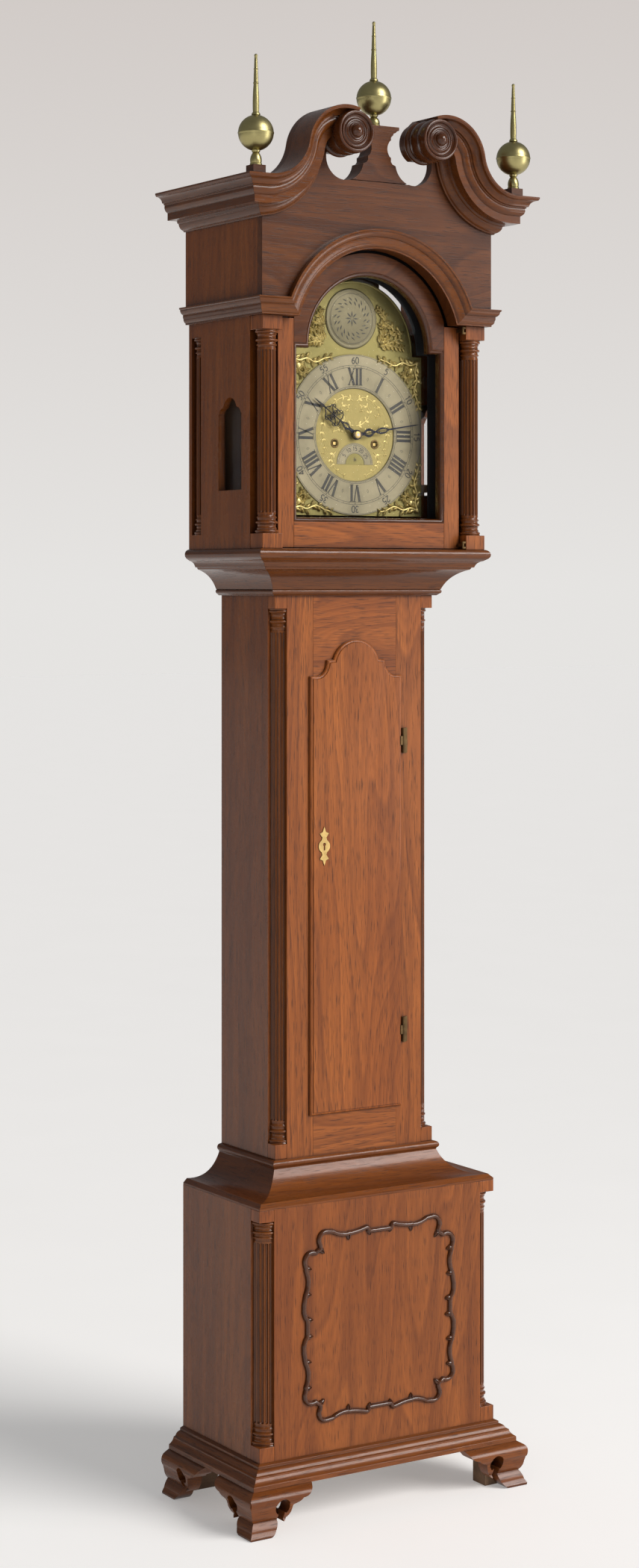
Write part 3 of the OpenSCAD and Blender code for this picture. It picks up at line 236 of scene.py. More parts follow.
MAT = {
    "wood_z": wood("walnut_upright", "z", 0.93, 1),
    "wood_x": wood("walnut_level", "x", 0.92, 2),
    # Case sides: the same walnut at a lower tone, which is painted shade
    "shaded_side_z": wood("walnut_case_side_painted_shade", "z", 0.66, 4, 0.6, 0.20),
    # Pediment walnut: its low tone is partly the wood's own darkness, partly painted shade for the
    # top of the case, which gets less light
    "pediment_x_tone_and_shade": wood("walnut_pediment_tone_and_shade", "x", 0.35, 11, 1.1, 0.26, 0.10),
    "hood_z": wood("walnut_hood", "z", 0.88, 6),
    "panel": wood("walnut_panel", "z", 0.84, 8, 0.8, 0.28, 0.01),
    "door": wood("walnut_door", "z", 0.98, 9, 0.85),
    "mould_x": wood("walnut_moulding", "x", 0.40, 12, 0.4, 0.15, 0.0, 0.22),
    # Side returns: the moulding walnut at a lower tone, which is painted shade
    "mould_y": wood("walnut_moulding_side_painted_shade", "y", 0.34, 13, 0.4, 0.15, 0.0, 0.22),
    "turned": wood("walnut_turned", "z", 0.52, 14, 0.3, 0.15, 0.0, 0.3),
    "dark": wood("walnut_dark_gloss", "x", 0.26, 15, 0.3, 0.12, 0.0, 0.6),
    "base_x": wood("walnut_plinth_moulding", "x", 0.58, 17, 0.6, 0.22, 0.0, 0.16),
    # Plinth returns: the plinth walnut at a lower tone, which is painted shade
    "base_y": wood("walnut_plinth_return_painted_shade", "y", 0.50, 18, 0.6, 0.22, 0.0, 0.16),
    "rosette": wood("walnut_rosette", "x", 0.28, 16, 0.3, 0.16, 0.0, 0.5),
    "raw_z": raw_wood("pine_back", "z", (0.30, 0.17, 0.09), 1),
    "raw_x": raw_wood("pine_level", "x", (0.26, 0.15, 0.08), 2),
    "black": matte("black_paint", (0.010, 0.010, 0.011), 0.55),
    "brass": metal("brass_movement", (0.60, 0.42, 0.16), 0.32, 0.5, (0.28, 0.18, 0.07)),
    "finial": metal("brass_finial", (0.42, 0.365, 0.165), 0.26, 0.5, (0.32, 0.27, 0.12), 20.0,
                    0.04),
    "cast": metal("brass_cast", (0.66, 0.53, 0.22), 0.30, 0.3, (0.30, 0.24, 0.09), 90.0),
    "plate": metal("brass_dial", (0.27, 0.23, 0.09), 0.46, 0.6, (0.15, 0.13, 0.05), 18.0),
    "centre": metal("brass_engraved", (0.32, 0.26, 0.105), 0.48, 0.45, (0.22, 0.18, 0.07), 60.0,
                    0.6),
    "silver": metal("silvered_brass", (0.27, 0.235, 0.155), 0.40, 0.6, (0.13, 0.115, 0.075), 12.0),
    "disc": metal("silvered_disc", (0.17, 0.148, 0.092), 0.36, 0.6, (0.08, 0.07, 0.045), 11.0),
    "wax": matte("engraving_wax", (0.012, 0.011, 0.010), 0.5),
    "blued": metal("blued_steel", (0.022, 0.024, 0.036), 0.30, 0.4, (0.012, 0.012, 0.015)),
    "aged": metal("aged_brass", (0.16, 0.10, 0.045), 0.42, 0.6, (0.06, 0.035, 0.018)),
    "steel": metal("steel", (0.40, 0.40, 0.41), 0.32, 0.4, (0.22, 0.21, 0.20)),
    "lead": metal("lead", (0.22, 0.22, 0.23), 0.55, 0.6, (0.12, 0.12, 0.12)),
    "gut": matte("gut_line", (0.42, 0.30, 0.14), 0.55),
    "glass": glass("old_glass"),
}

KEPT = {
    "panel": ["base_front"],
    # Side panels take the darker walnut copy, whose lower tone is painted shade
    "shaded_side_z": ["base_sides", "trunk_sides", "hood_side_left", "hood_side_right"],
    "hood_z": ["hood_base_frame"],
    # Hood top takes the pediment walnut, darkened partly by painted shade
    "pediment_x_tone_and_shade": ["hood_top"],
    "raw_x": ["base_floor", "seatboard"],
    "black": ["hood_mask"],
    "brass": ["movement_plates", "great_wheel", "third_wheel", "escape_wheel", "pendulum",
              "going_barrel", "strike_barrel", "bell", "escutcheon"],
    "aged": ["waist_hinge_pins", "waist_hinge_leaves", "hood_hinge_pins",
             "hood_hinge_straps"],
    "steel": ["centre_arbor", "anchor", "bell_hammer"],
    "lead": ["going_weight", "strike_weight"],
    "glass": ["side_glass", "hood_door_glass"],
}
for key, names in KEPT.items():
    for n in names:
        me = NODES[n].data
        me.materials.clear()
        me.materials.append(MAT[key])

# --- mesh building ---


def add_object(name, data):
    ob = bpy.data.objects.new(name, data)
    bpy.context.scene.collection.objects.link(ob)
    return ob


def arc(c, r, a, b, n=24):
    return [(c[0] + r * cos(radians(a + (b - a) * i / n)),
             c[1] + r * sin(radians(a + (b - a) * i / n))) for i in range(n + 1)]


def bow(p, q, s, n=12):
    """Shallow curve from p to q that stands s to the left of the chord."""
    ex, ey = q[0] - p[0], q[1] - p[1]
    m = hypot(ex, ey)
    return [(p[0] + ex * t - ey / m * 4 * s * t * (1 - t),
             p[1] + ey * t + ex / m * 4 * s * t * (1 - t))
            for t in (i / n for i in range(n + 1))]


def flip(pts):
    return [(-x, z) for x, z in reversed(pts)]


def spline(pts, n=6, closed=False):
    """Smooth curve through the points."""
    m = len(pts)
    out = []
    for i in range(m if closed else m - 1):
        p = [pts[(i + k) % m] if closed else pts[min(max(i + k, 0), m - 1)]
             for k in (-1, 0, 1, 2)]
        for j in range(n):
            t = j / n
            out.append(tuple(
                0.5 * (2 * b + (c - a) * t + (2 * a - 5 * b + 4 * c - d) * t * t
                       + (3 * b - a - 3 * c + d) * t ** 3)
                for a, b, c, d in zip(*p)))
    return out if closed else out + [tuple(pts[-1])]


class Shape:
    """Collects faces in millimetres: x, depth from the back, height."""

    def __init__(self):
        self.v, self.f = [], []

    def rings(self, rings, closed=True, caps=True, loop=False):
        """Skin over rings of equal length, capped if closed, or joined end to end."""
        base, m, n = len(self.v), len(rings[0]), len(rings)
        for r in rings:
            self.v += r
        for i in range(n if loop else n - 1):
            for j in range(m if closed else m - 1):
                a, b = base + i * m, base + (i + 1) % n * m
                k = (j + 1) % m
                self.f.append((a + j, a + k, b + k, b + j))
        if caps and not loop and closed:
            self.f.append(tuple(base + j for j in range(m)))
            self.f.append(tuple(base + (n - 1) * m + j for j in range(m)))
        return self

    def prism(self, outline, d0, d1, holes=()):
        """Flat shape in x and z, between two depths."""
        loops = [list(outline)] + [list(h) for h in holes]
        if not holes:
            return self.rings([[(x, d, z) for x, z in outline] for d in (d0, d1)])
        tris = tessellate_polygon([[Vector((x, z, 0)) for x, z in lo] for lo in loops])
        flat = [p for lo in loops for p in lo]
        for d in (d0, d1):
            base = len(self.v)
            self.v += [(x, d, z) for x, z in flat]
            self.f += [tuple(base + i for i in t) for t in tris]
        for lo in loops:
            self.rings([[(x, d, z) for x, z in lo] for d in (d0, d1)], caps=False)
        return self

    def slab(self, x0, x1, d0, d1, z0, z1):
        return self.prism([(x0, z0), (x1, z0), (x1, z1), (x0, z1)], d0, d1)

    def lathe(self, prof, centre, axis="z", n=64, a0=0, a1=360):
        """Turned shape: profile of (radius, height) about an axis through the centre."""
        full = abs(a1 - a0) >= 360
        cx, cd, cz = centre
        rings = []
        for i in range(n if full else n + 1):
            a = radians(a0 + (a1 - a0) * i / n)
            c, s = cos(a), sin(a)
            rings.append([(cx + r * c, cd + r * s, cz + h) if axis == "z"
                          else (cx + r * c, cd + h, cz + r * s) for r, h in prof])
        return self.rings(rings, closed=False, loop=full)

    def tube(self, path, radius, n=10, flat=1.0, loop=False, taper=None):
        """Rod along a path of (x, d, z); flat stretches it away from the face."""
        rings = []
        m = len(path)
        for i, p in enumerate(path):
            a = Vector(path[(i - 1) % m] if loop else path[max(i - 1, 0)])
            b = Vector(path[(i + 1) % m] if loop else path[min(i + 1, m - 1)])
            t = (b - a).normalized()
            u = t.cross(Vector((0, 1, 0)))
            u = u.normalized() if u.length > 1e-6 else Vector((1, 0, 0))
            w = t.cross(u)
            r = radius * (taper(i / (m - 1)) if taper else 1)
            rings.append([tuple(Vector(p) + u * r * cos(k) + w * r * flat * sin(k))
                          for k in (tau * j / n for j in range(n))])
        return self.rings(rings, loop=loop)

    def mirror(self):
        """Turns the shape into its mirror image across the clock's middle."""
        self.v = [(-x, d, z) for x, d, z in self.v]
        return self

    def copy_flipped(self):
        """Adds the mirror image across the clock's middle."""
        base = len(self.v)
        self.v += [(-x, d, z) for x, d, z in self.v]
        self.f += [tuple(base + i for i in reversed(f)) for f in list(self.f)]
        return self

    def piece(self, name, mat, body, slot, *stands, angle=33, bevel=0.0, cut=()):
        """Visible piece, cut at planes, that rides a body and stands for CAD nodes."""
        me = bpy.data.meshes.new(name)
        me.from_pydata([at(*v) for v in self.v], [], self.f)
        bm = bmesh.new()
        bm.from_mesh(me)
        bmesh.ops.remove_doubles(bm, verts=bm.verts, dist=1e-6)
        for co, no in cut:
            geom = bm.verts[:] + bm.edges[:] + bm.faces[:]
            done = bmesh.ops.bisect_plane(bm, geom=geom, plane_co=co, plane_no=no,
                                          clear_inner=True)
            edges = [g for g in done["geom_cut"] if isinstance(g, bmesh.types.BMEdge)]
            bmesh.ops.holes_fill(bm, edges=edges)
        bmesh.ops.dissolve_degenerate(bm, edges=bm.edges, dist=1e-7)
        bmesh.ops.recalc_face_normals(bm, faces=bm.faces)
        bm.to_mesh(me)
        bm.free()
        me.materials.append(MAT[mat])
        me.shade_smooth()
        me.set_sharp_from_angle(angle=radians(angle))
        ob = add_object(name, me)
        if bevel:
            mod = ob.modifiers.new("edges", "BEVEL")
            mod.width = bevel / 1000
            mod.segments = 2
            mod.limit_method = "ANGLE"
            mod.angle_limit = radians(48)
            mod.harden_normals = True
        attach(ob, body)
        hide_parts(*stands)
        return ob


# --- sizes, in millimetres; FD is the depth of the dial's face ---

BASE_W, BASE_D, FOOT_H, BASE_TOP = 483.0, 259.0, 76.0, 535.0
TRUNK_W, TRUNK_D, TRUNK_TOP, TRUNK_Z0 = 326.8, 181.0, 1567.5, 599.0
HOOD_Z0, HOOD_Z1, FRIEZE_W, FRIEZE_D, CORNICE = 1648.0, 2041.5, 472.8, 258.9, 2268.0
BASE_Z0 = FOOT_H + 36.5
ARCH_Z, ARCH_IN, ARCH_OUT = 1996.0, 168.5, 201.5
DIAL_Z, FD = 1847.5, 180.0
ROS_X, ROS_Z, ROS_R = 86.5, 2352.0, 36.0
CUT_X, CUT_Z, CUT_R = 71.0, 2316.0, 38.0
DOOR_HALF, DOOR_Z0, DOOR_SH = 95.0, 669.0, 1428.0
HOOD_HALF, HOOD_D = 229.6, 248.7
W, DK, BR = "walnut", "dark_bead", "brass"

# --- mouldings ---

base_prof = (
    [(0, BASE_Z0), (6.5, BASE_Z0 - 3), (6.5, BASE_Z0 - 7)]
    + bow((6.5, BASE_Z0 - 7), (15.9, BASE_Z0 - 15), 1.8)
    + [(19.8, BASE_Z0 - 16.5)] + bow((19.8, BASE_Z0 - 18), (27.6, BASE_Z0 - 27.5), -1.2)
    + [(28.8, BASE_Z0 - 28.5), (29, FOOT_H)])
flare_prof = (
    [(0, TRUNK_Z0 + 1)] + arc((3.2, TRUNK_Z0 - 6), 6.2, 70, -60, 18)
    + [(5.4, TRUNK_Z0 - 14)] + bow((5.4, TRUNK_Z0 - 14), (71, TRUNK_Z0 - 53.5), -15, 30)
    + [(74.4, TRUNK_Z0 - 57), (78.1, TRUNK_Z0 - 60.5), (78.1, BASE_TOP)])
support_prof = (
    [(60, HOOD_Z0)] + arc((66, HOOD_Z0 - 9), 9, 90, -60, 20)
    + [(65.5, HOOD_Z0 - 20)] + bow((65.5, HOOD_Z0 - 20), (54, HOOD_Z0 - 31), -2.4)
    + [(50.4, HOOD_Z0 - 32), (48.5, HOOD_Z0 - 35)]
    + bow((48.5, HOOD_Z0 - 35), (11.5, TRUNK_TOP + 11), -6, 24)
    + arc((8.2, TRUNK_TOP + 7), 4.2, 60, -70, 14) + [(6, TRUNK_TOP)])
MID_H = 29.5
mid_prof = ([(13.5, MID_H), (13.5, 27)] + bow((11.5, 25.5), (5.8, 17), 1.6)
            + [(5.8, 12.5)] + bow((4.6, 9.5), (0.6, 2.6), 1.2) + [(0.6, 0)])
crown_prof = (
    [(61.5, 0), (61.5, 3), (59.5, 6)] + bow((59.5, 6), (47.5, 16.5), 3)
    + [(44.5, 17.2), (44.5, 19.2)] + bow((42.7, 20), (38, 32.4), -2.2)
    + [(36.8, 33), (36.8, 46), (18, 46), (17, 49.5)] + bow((14.5, 50.5), (5, 62), -2.4)
    + [(4, 64)])


def closed(prof):
    return [(0, prof[0][1])] + prof + [(0, prof[-1][1])]


def moulding(name, node, half, depth, prof, body="case", front=True):
    """Front length and two side returns, mitred at the corners."""
    ring = closed(prof)
    kind = "base_" if prof[-1][1] < BASE_TOP + 1 else "mould_"
    if front:
        s = Shape().rings([[(e * (half + p), depth + p, z) for p, z in ring]
                           for e in (-1, 1)])
        s.piece(name + "_front", kind + "x", body, W, node, bevel=0.5)
    # Side returns take the _y walnut, a darker copy whose lower tone is painted shade
    side = Shape().rings([[(-half - p, 0, z) for p, z in ring],
                          [(-half - p, depth + p, z) for p, z in ring]]).copy_flipped()
    side.piece(name + "_sides", kind + "y", body, W, node, bevel=0.5)


moulding("plinth_moulding", "base_moulding", BASE_W / 2, BASE_D, base_prof)
moulding("flared_moulding", "flare_moulding", TRUNK_W / 2, TRUNK_D, flare_prof)
moulding("hood_support", "support_moulding", TRUNK_W / 2, TRUNK_D, support_prof)
moulding("side_cornice", "cornice_returns", FRIEZE_W / 2, FRIEZE_D,
         [(p, CORNICE - y) for p, y in crown_prof], "hood", front=False)

# Moulding over the dial door: two level ends and the arch between them
half = FRIEZE_W / 2
ring = closed(mid_prof)
join_in = sqrt(ARCH_IN ** 2 - (HOOD_Z1 - ARCH_Z) ** 2)
join_out = sqrt(ARCH_OUT ** 2 - (HOOD_Z1 + MID_H - ARCH_Z) ** 2)
scale = (ARCH_OUT - ARCH_IN) / MID_H
moulding("hood_moulding", "arch_moulding", half, FRIEZE_D,
         [(p, HOOD_Z1 + y) for p, y in mid_prof], "hood", front=False)
level = Shape().rings(
    [[(-half - p, FRIEZE_D + p, HOOD_Z1 + y) for p, y in ring],
     [(-join_in - (join_out - join_in) * y / MID_H, FRIEZE_D + p, HOOD_Z1 + y)
      for p, y in ring]]).copy_flipped()
level.piece("hood_moulding_level", "mould_x", "hood", W, "arch_moulding", bevel=0.4)
steps = []
for i in range(97):
    one = []
    for p, y in ring:
        r = ARCH_IN + y * scale
        end = asin((HOOD_Z1 + y - ARCH_Z) / r)
        a = end + (pi - 2 * end) * i / 96
        one.append((r * cos(a), FRIEZE_D + p, ARCH_Z + r * sin(a)))
    steps.append(one)
Shape().rings(steps).piece("hood_moulding_arch", "mould_x", "hood", W, "arch_moulding")

# Swan necks
LOW_C, TOP_C = (-253.0, CORNICE + 74.0), (-103.0, CORNICE + 49.5)
SPAN = (LOW_C[0] - TOP_C[0], LOW_C[1] - TOP_C[1])
JOIN = degrees(atan2(SPAN[1], SPAN[0]))
LOW_R = 74.0
TOP_R = hypot(*SPAN) - LOW_R


def neck_curve(low_n, top_n):
    """The swan neck's lower edge: points, and the direction across it at each."""
    low = [((LOW_C[0] + LOW_R * x, LOW_C[1] + LOW_R * z), (x, z))
           for x, z in arc((0, 0), 1, -90, JOIN - 180, low_n)]
    return low + [((TOP_C[0] + TOP_R * x, TOP_C[1] + TOP_R * z), (-x, -z))
                  for x, z in arc((0, 0), 1, JOIN, 72, top_n)[1:]]


neck = [((-half - 90, CORNICE), (0, -1))] + neck_curve(30, 44)
crown = [(0, 0)] + crown_prof + [(0, 64)]
scroll = Shape().rings([[(p[0] + u[0] * y, FRIEZE_D + q, p[1] + u[1] * y) for q, y in crown]
                        for p, u in neck])
for e, side in ((-1, "left"), (1, "right")):
    mitre = (at(e * FRIEZE_W / 2, FRIEZE_D, CORNICE), Vector((-e, -1, 0)).normalized())
    scroll.piece("swan_neck_" + side, "mould_x", "hood", W, "scroll_" + side, bevel=0.35,
                 cut=[mitre])
    scroll.mirror()

# Turned rosettes: ringed front, barrel body and a fillet behind
R = ROS_R
ros = ([(0, 0), (R - 1, 0)] + bow((R, 1), (R, 9), -1.6) + [(R - 2.2, 11), (R - 2.2, 13)]
       + bow((R - 1.6, 13.5), (R - 1.6, 36), -2.6, 16)
       + [(R - 2.6, 37.5), (R - 2.6, 39.5)] + bow((R - 0.4, 40), (R - 0.4, 59), -1.2, 14)
       + arc((R - 3.4, 59.2), 2.9, 10, 150, 12) + [(R - 7.5, 58.6), (R - 8.5, 60)]
       + bow((R - 9, 60.2), (R - 15, 60.6), 2.1, 8) + [(R - 16, 59.4), (R - 17, 59.4)]
       + bow((R - 17.5, 59.6), (R - 22.5, 60.4), 1.8, 8) + [(R - 23.5, 60.2)]
       + arc((0, 60), 11.2, 6, 62, 10) + [(4.6, 70.4)]
       + [(4.2, 71.3), (2.4, 71.9), (0, 72)])
turned = Shape()
for e in (-1, 1):
    turned.lathe(ros, (e * ROS_X, FRIEZE_D, ROS_Z), "d", 96)
turned.piece("turned_rosettes", "rosette", "hood", DK, "rosettes")

# --- pediment ---

edge = [(-half, HOOD_Z1), (-half, CORNICE)] + [p for p, _ in neck_curve(20, 30)]
edge = [p for p in edge if p[0] > -254 or p[1] <= CORNICE]
edge += arc((-ROS_X, ROS_Z), ROS_R - 1, 60, -60, 16)
edge += [(-CUT_X - CUT_R, CUT_Z + 6)] + arc((-CUT_X, CUT_Z), CUT_R, 180, 285, 26)
edge += [(-CUT_X + 12, CUT_Z - CUT_R + 1)]
arch = arc((0, ARCH_Z), ARCH_IN, 0, 180, 96)
arch = [p for p in arch if p[1] > HOOD_Z1 + 0.5]
opening = [(join_in, HOOD_Z1)] + arch + [(-join_in, HOOD_Z1)]
Shape().prism(edge + flip(edge) + opening, FRIEZE_D - 16, FRIEZE_D).piece(
    "pediment_board", "pediment_x_tone_and_shade", "hood", W, "tympanum", bevel=0.6)
inner = [(218, HOOD_Z1), (218, 2200), (-218, 2200), (-218, HOOD_Z1)]
Shape().prism(inner + [(-join_in, HOOD_Z1)] + arch[::-1] + [(join_in, HOOD_Z1)],
              230.8, FRIEZE_D - 15.5).piece(
    "arch_soffit", "pediment_x_tone_and_shade", "hood", W, "tympanum", bevel=0.3)

c = CUT_Z
post = ([(CUT_X - 14, c - CUT_R + 2)] + arc((CUT_X, c), CUT_R, 245, 190, 16)
        + [(27, c - 4), (24, c), (24, c + 7)] + bow((21, c + 9), (22, c + 36), 5, 16)
        + [(24, c + 37), (24, c + 42), (29, c + 47), (29, c + 49)]
        + bow((34, c + 51), (40.2, c + 55), 0.8, 6) + [(41, c + 56), (41, c + 61)])
Shape().prism(post + flip(post), FRIEZE_D - 36, FRIEZE_D).piece(
    "finial_plinth", "pediment_x_tone_and_shade", "hood", W, "plinth", bevel=0.6)

# --- turned columns ---


def base_rings(r, h):
    """Turned rings at a column's foot or head, standing on height 0."""
    return ([(0, 0), (r + 3.2, 0), (r + 3.6, 0.5)] + arc((r + 1.6, h * 0.12), 2.2, -60, 60, 12)
            + [(r + 0.9, h * 0.20), (r + 0.9, h * 0.245)]
            + bow((r + 1.4, h * 0.27), (r + 0.6, h * 0.46), 1.4, 10)
            + [(r - 0.3, h * 0.475), (r - 0.3, h * 0.50)]
            + arc((r + 0.8, h * 0.58), 2.1, -70, 70, 12)
            + [(r - 0.4, h * 0.69), (r - 0.4, h * 0.745)]
            + arc((r - 0.2, h * 0.84), 1.5, -80, 80, 10) + [(r - 0.8, h * 0.93), (r - 0.6, h)])


def column(s, cx, cd, r, z0, z1, base_h, cap_h, flutes, a0=0, a1=360):
    """Fluted shaft with its base and capital."""
    full = a1 - a0 >= 360
    top = [(p, z1 - z0 - h) for p, h in reversed(base_rings(r, cap_h))]
    for prof in (base_rings(r, base_h), top):
        s.lathe(prof, (cx, cd, z0), "z", 64 if full else 24, a0, a1)
    low, high = z0 + base_h, z1 - cap_h
    step = (a1 - a0) / flutes
    wide = radians(step) * r * 0.37
    levels = [low, low + 3]
    levels += [low + 3 + wide * (1 - cos(radians(15 * i))) for i in range(1, 7)]
    levels += [low + (high - low) * t for t in (0.3, 0.5, 0.7)]
    levels += [low + high - z for z in levels[7::-1]]
    n = flutes * 10
    rings = []
    for z in levels:
        end = min(z - low, high - z) - 3
        v = max(0.0, (wide - end) / wide)
        one = []
        for i in range(n if full else n + 1):
            a = a0 + (a1 - a0) * i / n
            u = abs((a - a0) % step - step / 2) / (step * 0.37)
            dip = sqrt(max(0.0, 1 - u * u - v * v)) if end > 0 else 0.0
            q = radians(a)
            rad = r - dip * wide * 1.05
            one.append((cx + rad * cos(q), cd + rad * sin(q), z))
        rings.append(one)
    return s.rings(rings, closed=full, caps=False)


cols = Shape()
for inset, depth, r in ((20, HOOD_D - 20, 16), (16, 26, 14)):
    column(cols, -HOOD_HALF + inset, depth, r, HOOD_Z0 + 25, HOOD_Z1 - 24, 32, 31, 16)
cols.copy_flipped().piece("hood_columns_turned", "turned", "hood", W, "hood_columns", angle=40)
blocks = Shape()
for z0, z1 in ((HOOD_Z0, HOOD_Z0 + 25), (HOOD_Z1 - 24, HOOD_Z1)):
    blocks.slab(-HOOD_HALF, -HOOD_HALF + 40, HOOD_D - 40, HOOD_D, z0, z1)
blocks.copy_flipped().piece("hood_column_blocks", "hood_z", "hood", W, "hood_columns", bevel=0.8)


def corner_column(name, node, half, depth, notch, z0, z1, base_h, cap_h, foot, top):
    s = Shape()
    column(s, -half + notch, depth - notch, notch - 5.5, z0 + foot, z1 - top,
           base_h, cap_h, 5, 90, 180)
    s.copy_flipped().piece(name, "turned", "case", W, node, angle=40)
    b = Shape()
    for low, high in ((z0, z0 + foot), (z1 - top, z1)):
        b.slab(-half, -half + notch, depth - notch, depth, low, high)
    b.copy_flipped().piece(name + "_blocks", "wood_z", "case", W, node, bevel=0.8)


corner_column("plinth_columns", "base_columns", BASE_W / 2, BASE_D, 29, FOOT_H, BASE_TOP,
              34, 34, BASE_Z0 + 24.5 - FOOT_H, 20)
corner_column("case_columns", "trunk_columns", TRUNK_W / 2, TRUNK_D, 24, TRUNK_Z0 + 1,
              TRUNK_TOP, 36, 38, 25, 22.5)

# --- plinth bead ---

quarter = ([(0, 151), (11, 151), (22, 151), (23.5, 153), (24.3, 156), (26, 157.8)]
           + bow((29, 158), (62, 152), -1, 10) + [(64.5, 152.6)]
           + bow((67, 151.5), (97, 159), -2.4, 12)
           + arc((111, 147), 13.5, 112, -25, 22)[1:] + [(121.6, 137), (121.4, 133.4)]
           + [(123.4, 131), (127, 129.5)] + arc((139, 114), 14, 122, -15, 22)
           + [(151.6, 106), (150, 103)] + bow((150.6, 99), (151, 58), -5, 14)
           + [(152.6, 50), (154.4, 40), (154.4, 28), (151.5, 19), (148, 15), (147, 8), (147, 0)])
loop = quarter + [(x, -z) for x, z in quarter[-2::-1]]
loop = loop + [(-x, z) for x, z in loop[-2:0:-1]]
BEAD_Z = 326.0
bead = Shape().tube([(x, BASE_D, BEAD_Z + z) for x, z in loop], 4.4, 14, 1.3, loop=True)
bead.piece("plinth_bead", "dark", "case", DK, "base_bead", angle=60)


def leaf(s, x, z, d, turn, length, wide, thick=3.0):
    """Small curled leaf that grows from (x, z) towards its angle, over the depth d."""
    c, t = cos(radians(turn)), sin(radians(turn))
    rings = []
    for i in range(9):
        u = i / 8
        w = wide * sin(pi * min(1.0, u * 0.94 + 0.05)) ** 0.8
        w *= 1 + 0.16 * sin(u * 17)
        h = thick * (0.35 + 0.65 * sin(pi * (u * 0.9 + 0.08)))
        row = []
        for k, lift in ((-1, 0.0), (-0.62, 0.75), (-0.2, 0.9), (0, 0.55), (0.2, 0.9),
                        (0.62, 0.75), (1, 0.0)):
            px, pz = length * u, w * k
            row.append((x + px * c - pz * t, d + h * lift, z + px * t + pz * c))
        rings.append(row)
    return s.rings(rings, closed=False)


tips = Shape()
for sx in (-1, 1):
    for sz in (-1, 1):
        for x, z, a in ((24, 155, 250), (64.5, 152, 270), (122, 132, 225), (150.5, 102, 190),
                        (151, 57, 180), (148, 14, 180)):
            ax, az = cos(radians(a)) * sx, sin(radians(a)) * sz
            leaf(tips, x * sx - ax * 3, BEAD_Z + z * sz - az * 3, BASE_D + 0.4,
                 degrees(atan2(az, ax)), 15, 5.0, 4.8)
tips.piece("bead_leaf_tips", "dark", "case", DK, "base_bead", angle=60)

# --- trunk door ---


def door_outline(k):
    w, sx, top = DOOR_HALF - k, DOOR_HALF - 14, DOOR_SH + 28
    step = degrees(acos(min(1, (k + 0.5) / (28 + k))))
    r, c = 49.5 - k, DOOR_SH + 13.5
    a = degrees(asin((top + 0.5 - k - c) / r))
    half = [(w, DOOR_Z0 + k), (w, DOOR_SH - k)]
    for i in range(15):
        t = radians(step * i / 14)
        half.append((sx - (21 + k) * sin(t), top - (28 + k) * cos(t)))
    half += arc((0, c), r, a, 90, 22)
    return half + flip(half[:-1])


lip = ([(11.6, TRUNK_D - 18), (11.6, TRUNK_D + 0.3), (0.3, TRUNK_D + 0.3), (0, TRUNK_D + 0.8),
        (0, TRUNK_D + 2.6)]
       + [(0.2 + 4.4 * (1 - cos(radians(9 * i))),
           TRUNK_D + 2.7 + 3.6 * sin(radians(9 * i))) for i in range(11)]
       + [(4.9, TRUNK_D + 7.3), (5.5, TRUNK_D + 7.95), (6.4, TRUNK_D + 8)])
door = Shape().rings([[(x, d, z) for x, z in door_outline(k)] for k, d in lip])
door.piece("trunk_door", "door", "waist_door", W, "waist_door", angle=30)

F0, F1 = TRUNK_D - 18, TRUNK_D
gap = door_outline(9)
top = [p for p in gap if p[1] > DOOR_SH - 12]
Shape().slab(-TRUNK_W / 2 + 24, -86, F0, F1, BASE_TOP, HOOD_Z0).copy_flipped().piece(
    "trunk_stiles", "wood_z", "case", W, "trunk_front", bevel=0.4)
Shape().slab(-86, 86, F0, F1, BASE_TOP, DOOR_Z0 + 9).piece(
    "trunk_low_rail", "wood_x", "case", W, "trunk_front", bevel=0.4)
Shape().prism([(86, HOOD_Z0)] + top + [(-86, HOOD_Z0)], F0, F1).piece(
    "trunk_top_rail", "wood_x", "case", W, "trunk_front", bevel=0.4)

# --- dial door ---


def opening_outline(k, n=72):
    w, z0, z1, r = 147.5 + k, DIAL_Z - 145.5 - k, ARCH_Z - 5 + k, 123 + k
    a = degrees(asin(max(0.0, z1 - ARCH_Z) / r))
    x = r * cos(radians(a))
    return ([(-w, z0), (w, z0), (w, z1), (x, z1)] + arc((0, ARCH_Z), r, a, 180 - a, n)
            + [(-x, z1), (-w, z1)])


D0, D1, K = 209.7, 229.7, 8.0
z0, z1, x1 = HOOD_Z0 + 1.5, HOOD_Z1 - 1.5, 187.5
xi, zi, lo = 147.5 + K, ARCH_Z - 5 + K, DIAL_Z - 145.5 - K
Shape().slab(xi, x1, D0, D1, z0, z1).copy_flipped().piece(
    "door_stiles", "hood_z", "hood_door", W, "hood_door", bevel=0.9)
Shape().slab(-xi, xi, D0, D1, z0, lo).piece(
    "door_rail", "wood_x", "hood_door", W, "hood_door", bevel=0.7)
a_out = degrees(acos(xi / (ARCH_IN - 4.5)))
a_in = degrees(asin((zi - ARCH_Z) / (123 + K)))
head = ([(xi, zi)] + arc((0, ARCH_Z), ARCH_IN - 4.5, a_out, 180 - a_out, 80) + [(-xi, zi)]
        + arc((0, ARCH_Z), 123 + K, 180 - a_in, a_in, 80))
Shape().prism(head, D0, D1).piece("door_head", "pediment_x_tone_and_shade", "hood_door", W, "hood_door", bevel=0.7)
ovolo = ([(K + 0.2, D1 - 0.2), (K - 0.4, D1 + 0.5), (K - 1.6, D1 + 0.5)]
         + [(K - 2.2 - (K - 2.2) * sin(radians(9 * i)),
             D1 - 8.6 + 8.2 * cos(radians(9 * i))) for i in range(11)]
         + [(0, D1 - 9.4), (0, D0 + 4.6), (K + 0.2, D0 + 4.6)])
Shape().rings([[(x, d, z) for x, z in opening_outline(k)] for k, d in ovolo],
              caps=False).piece("door_ovolo", "dark", "hood_door", DK, "hood_door", angle=40)

# --- dial ---


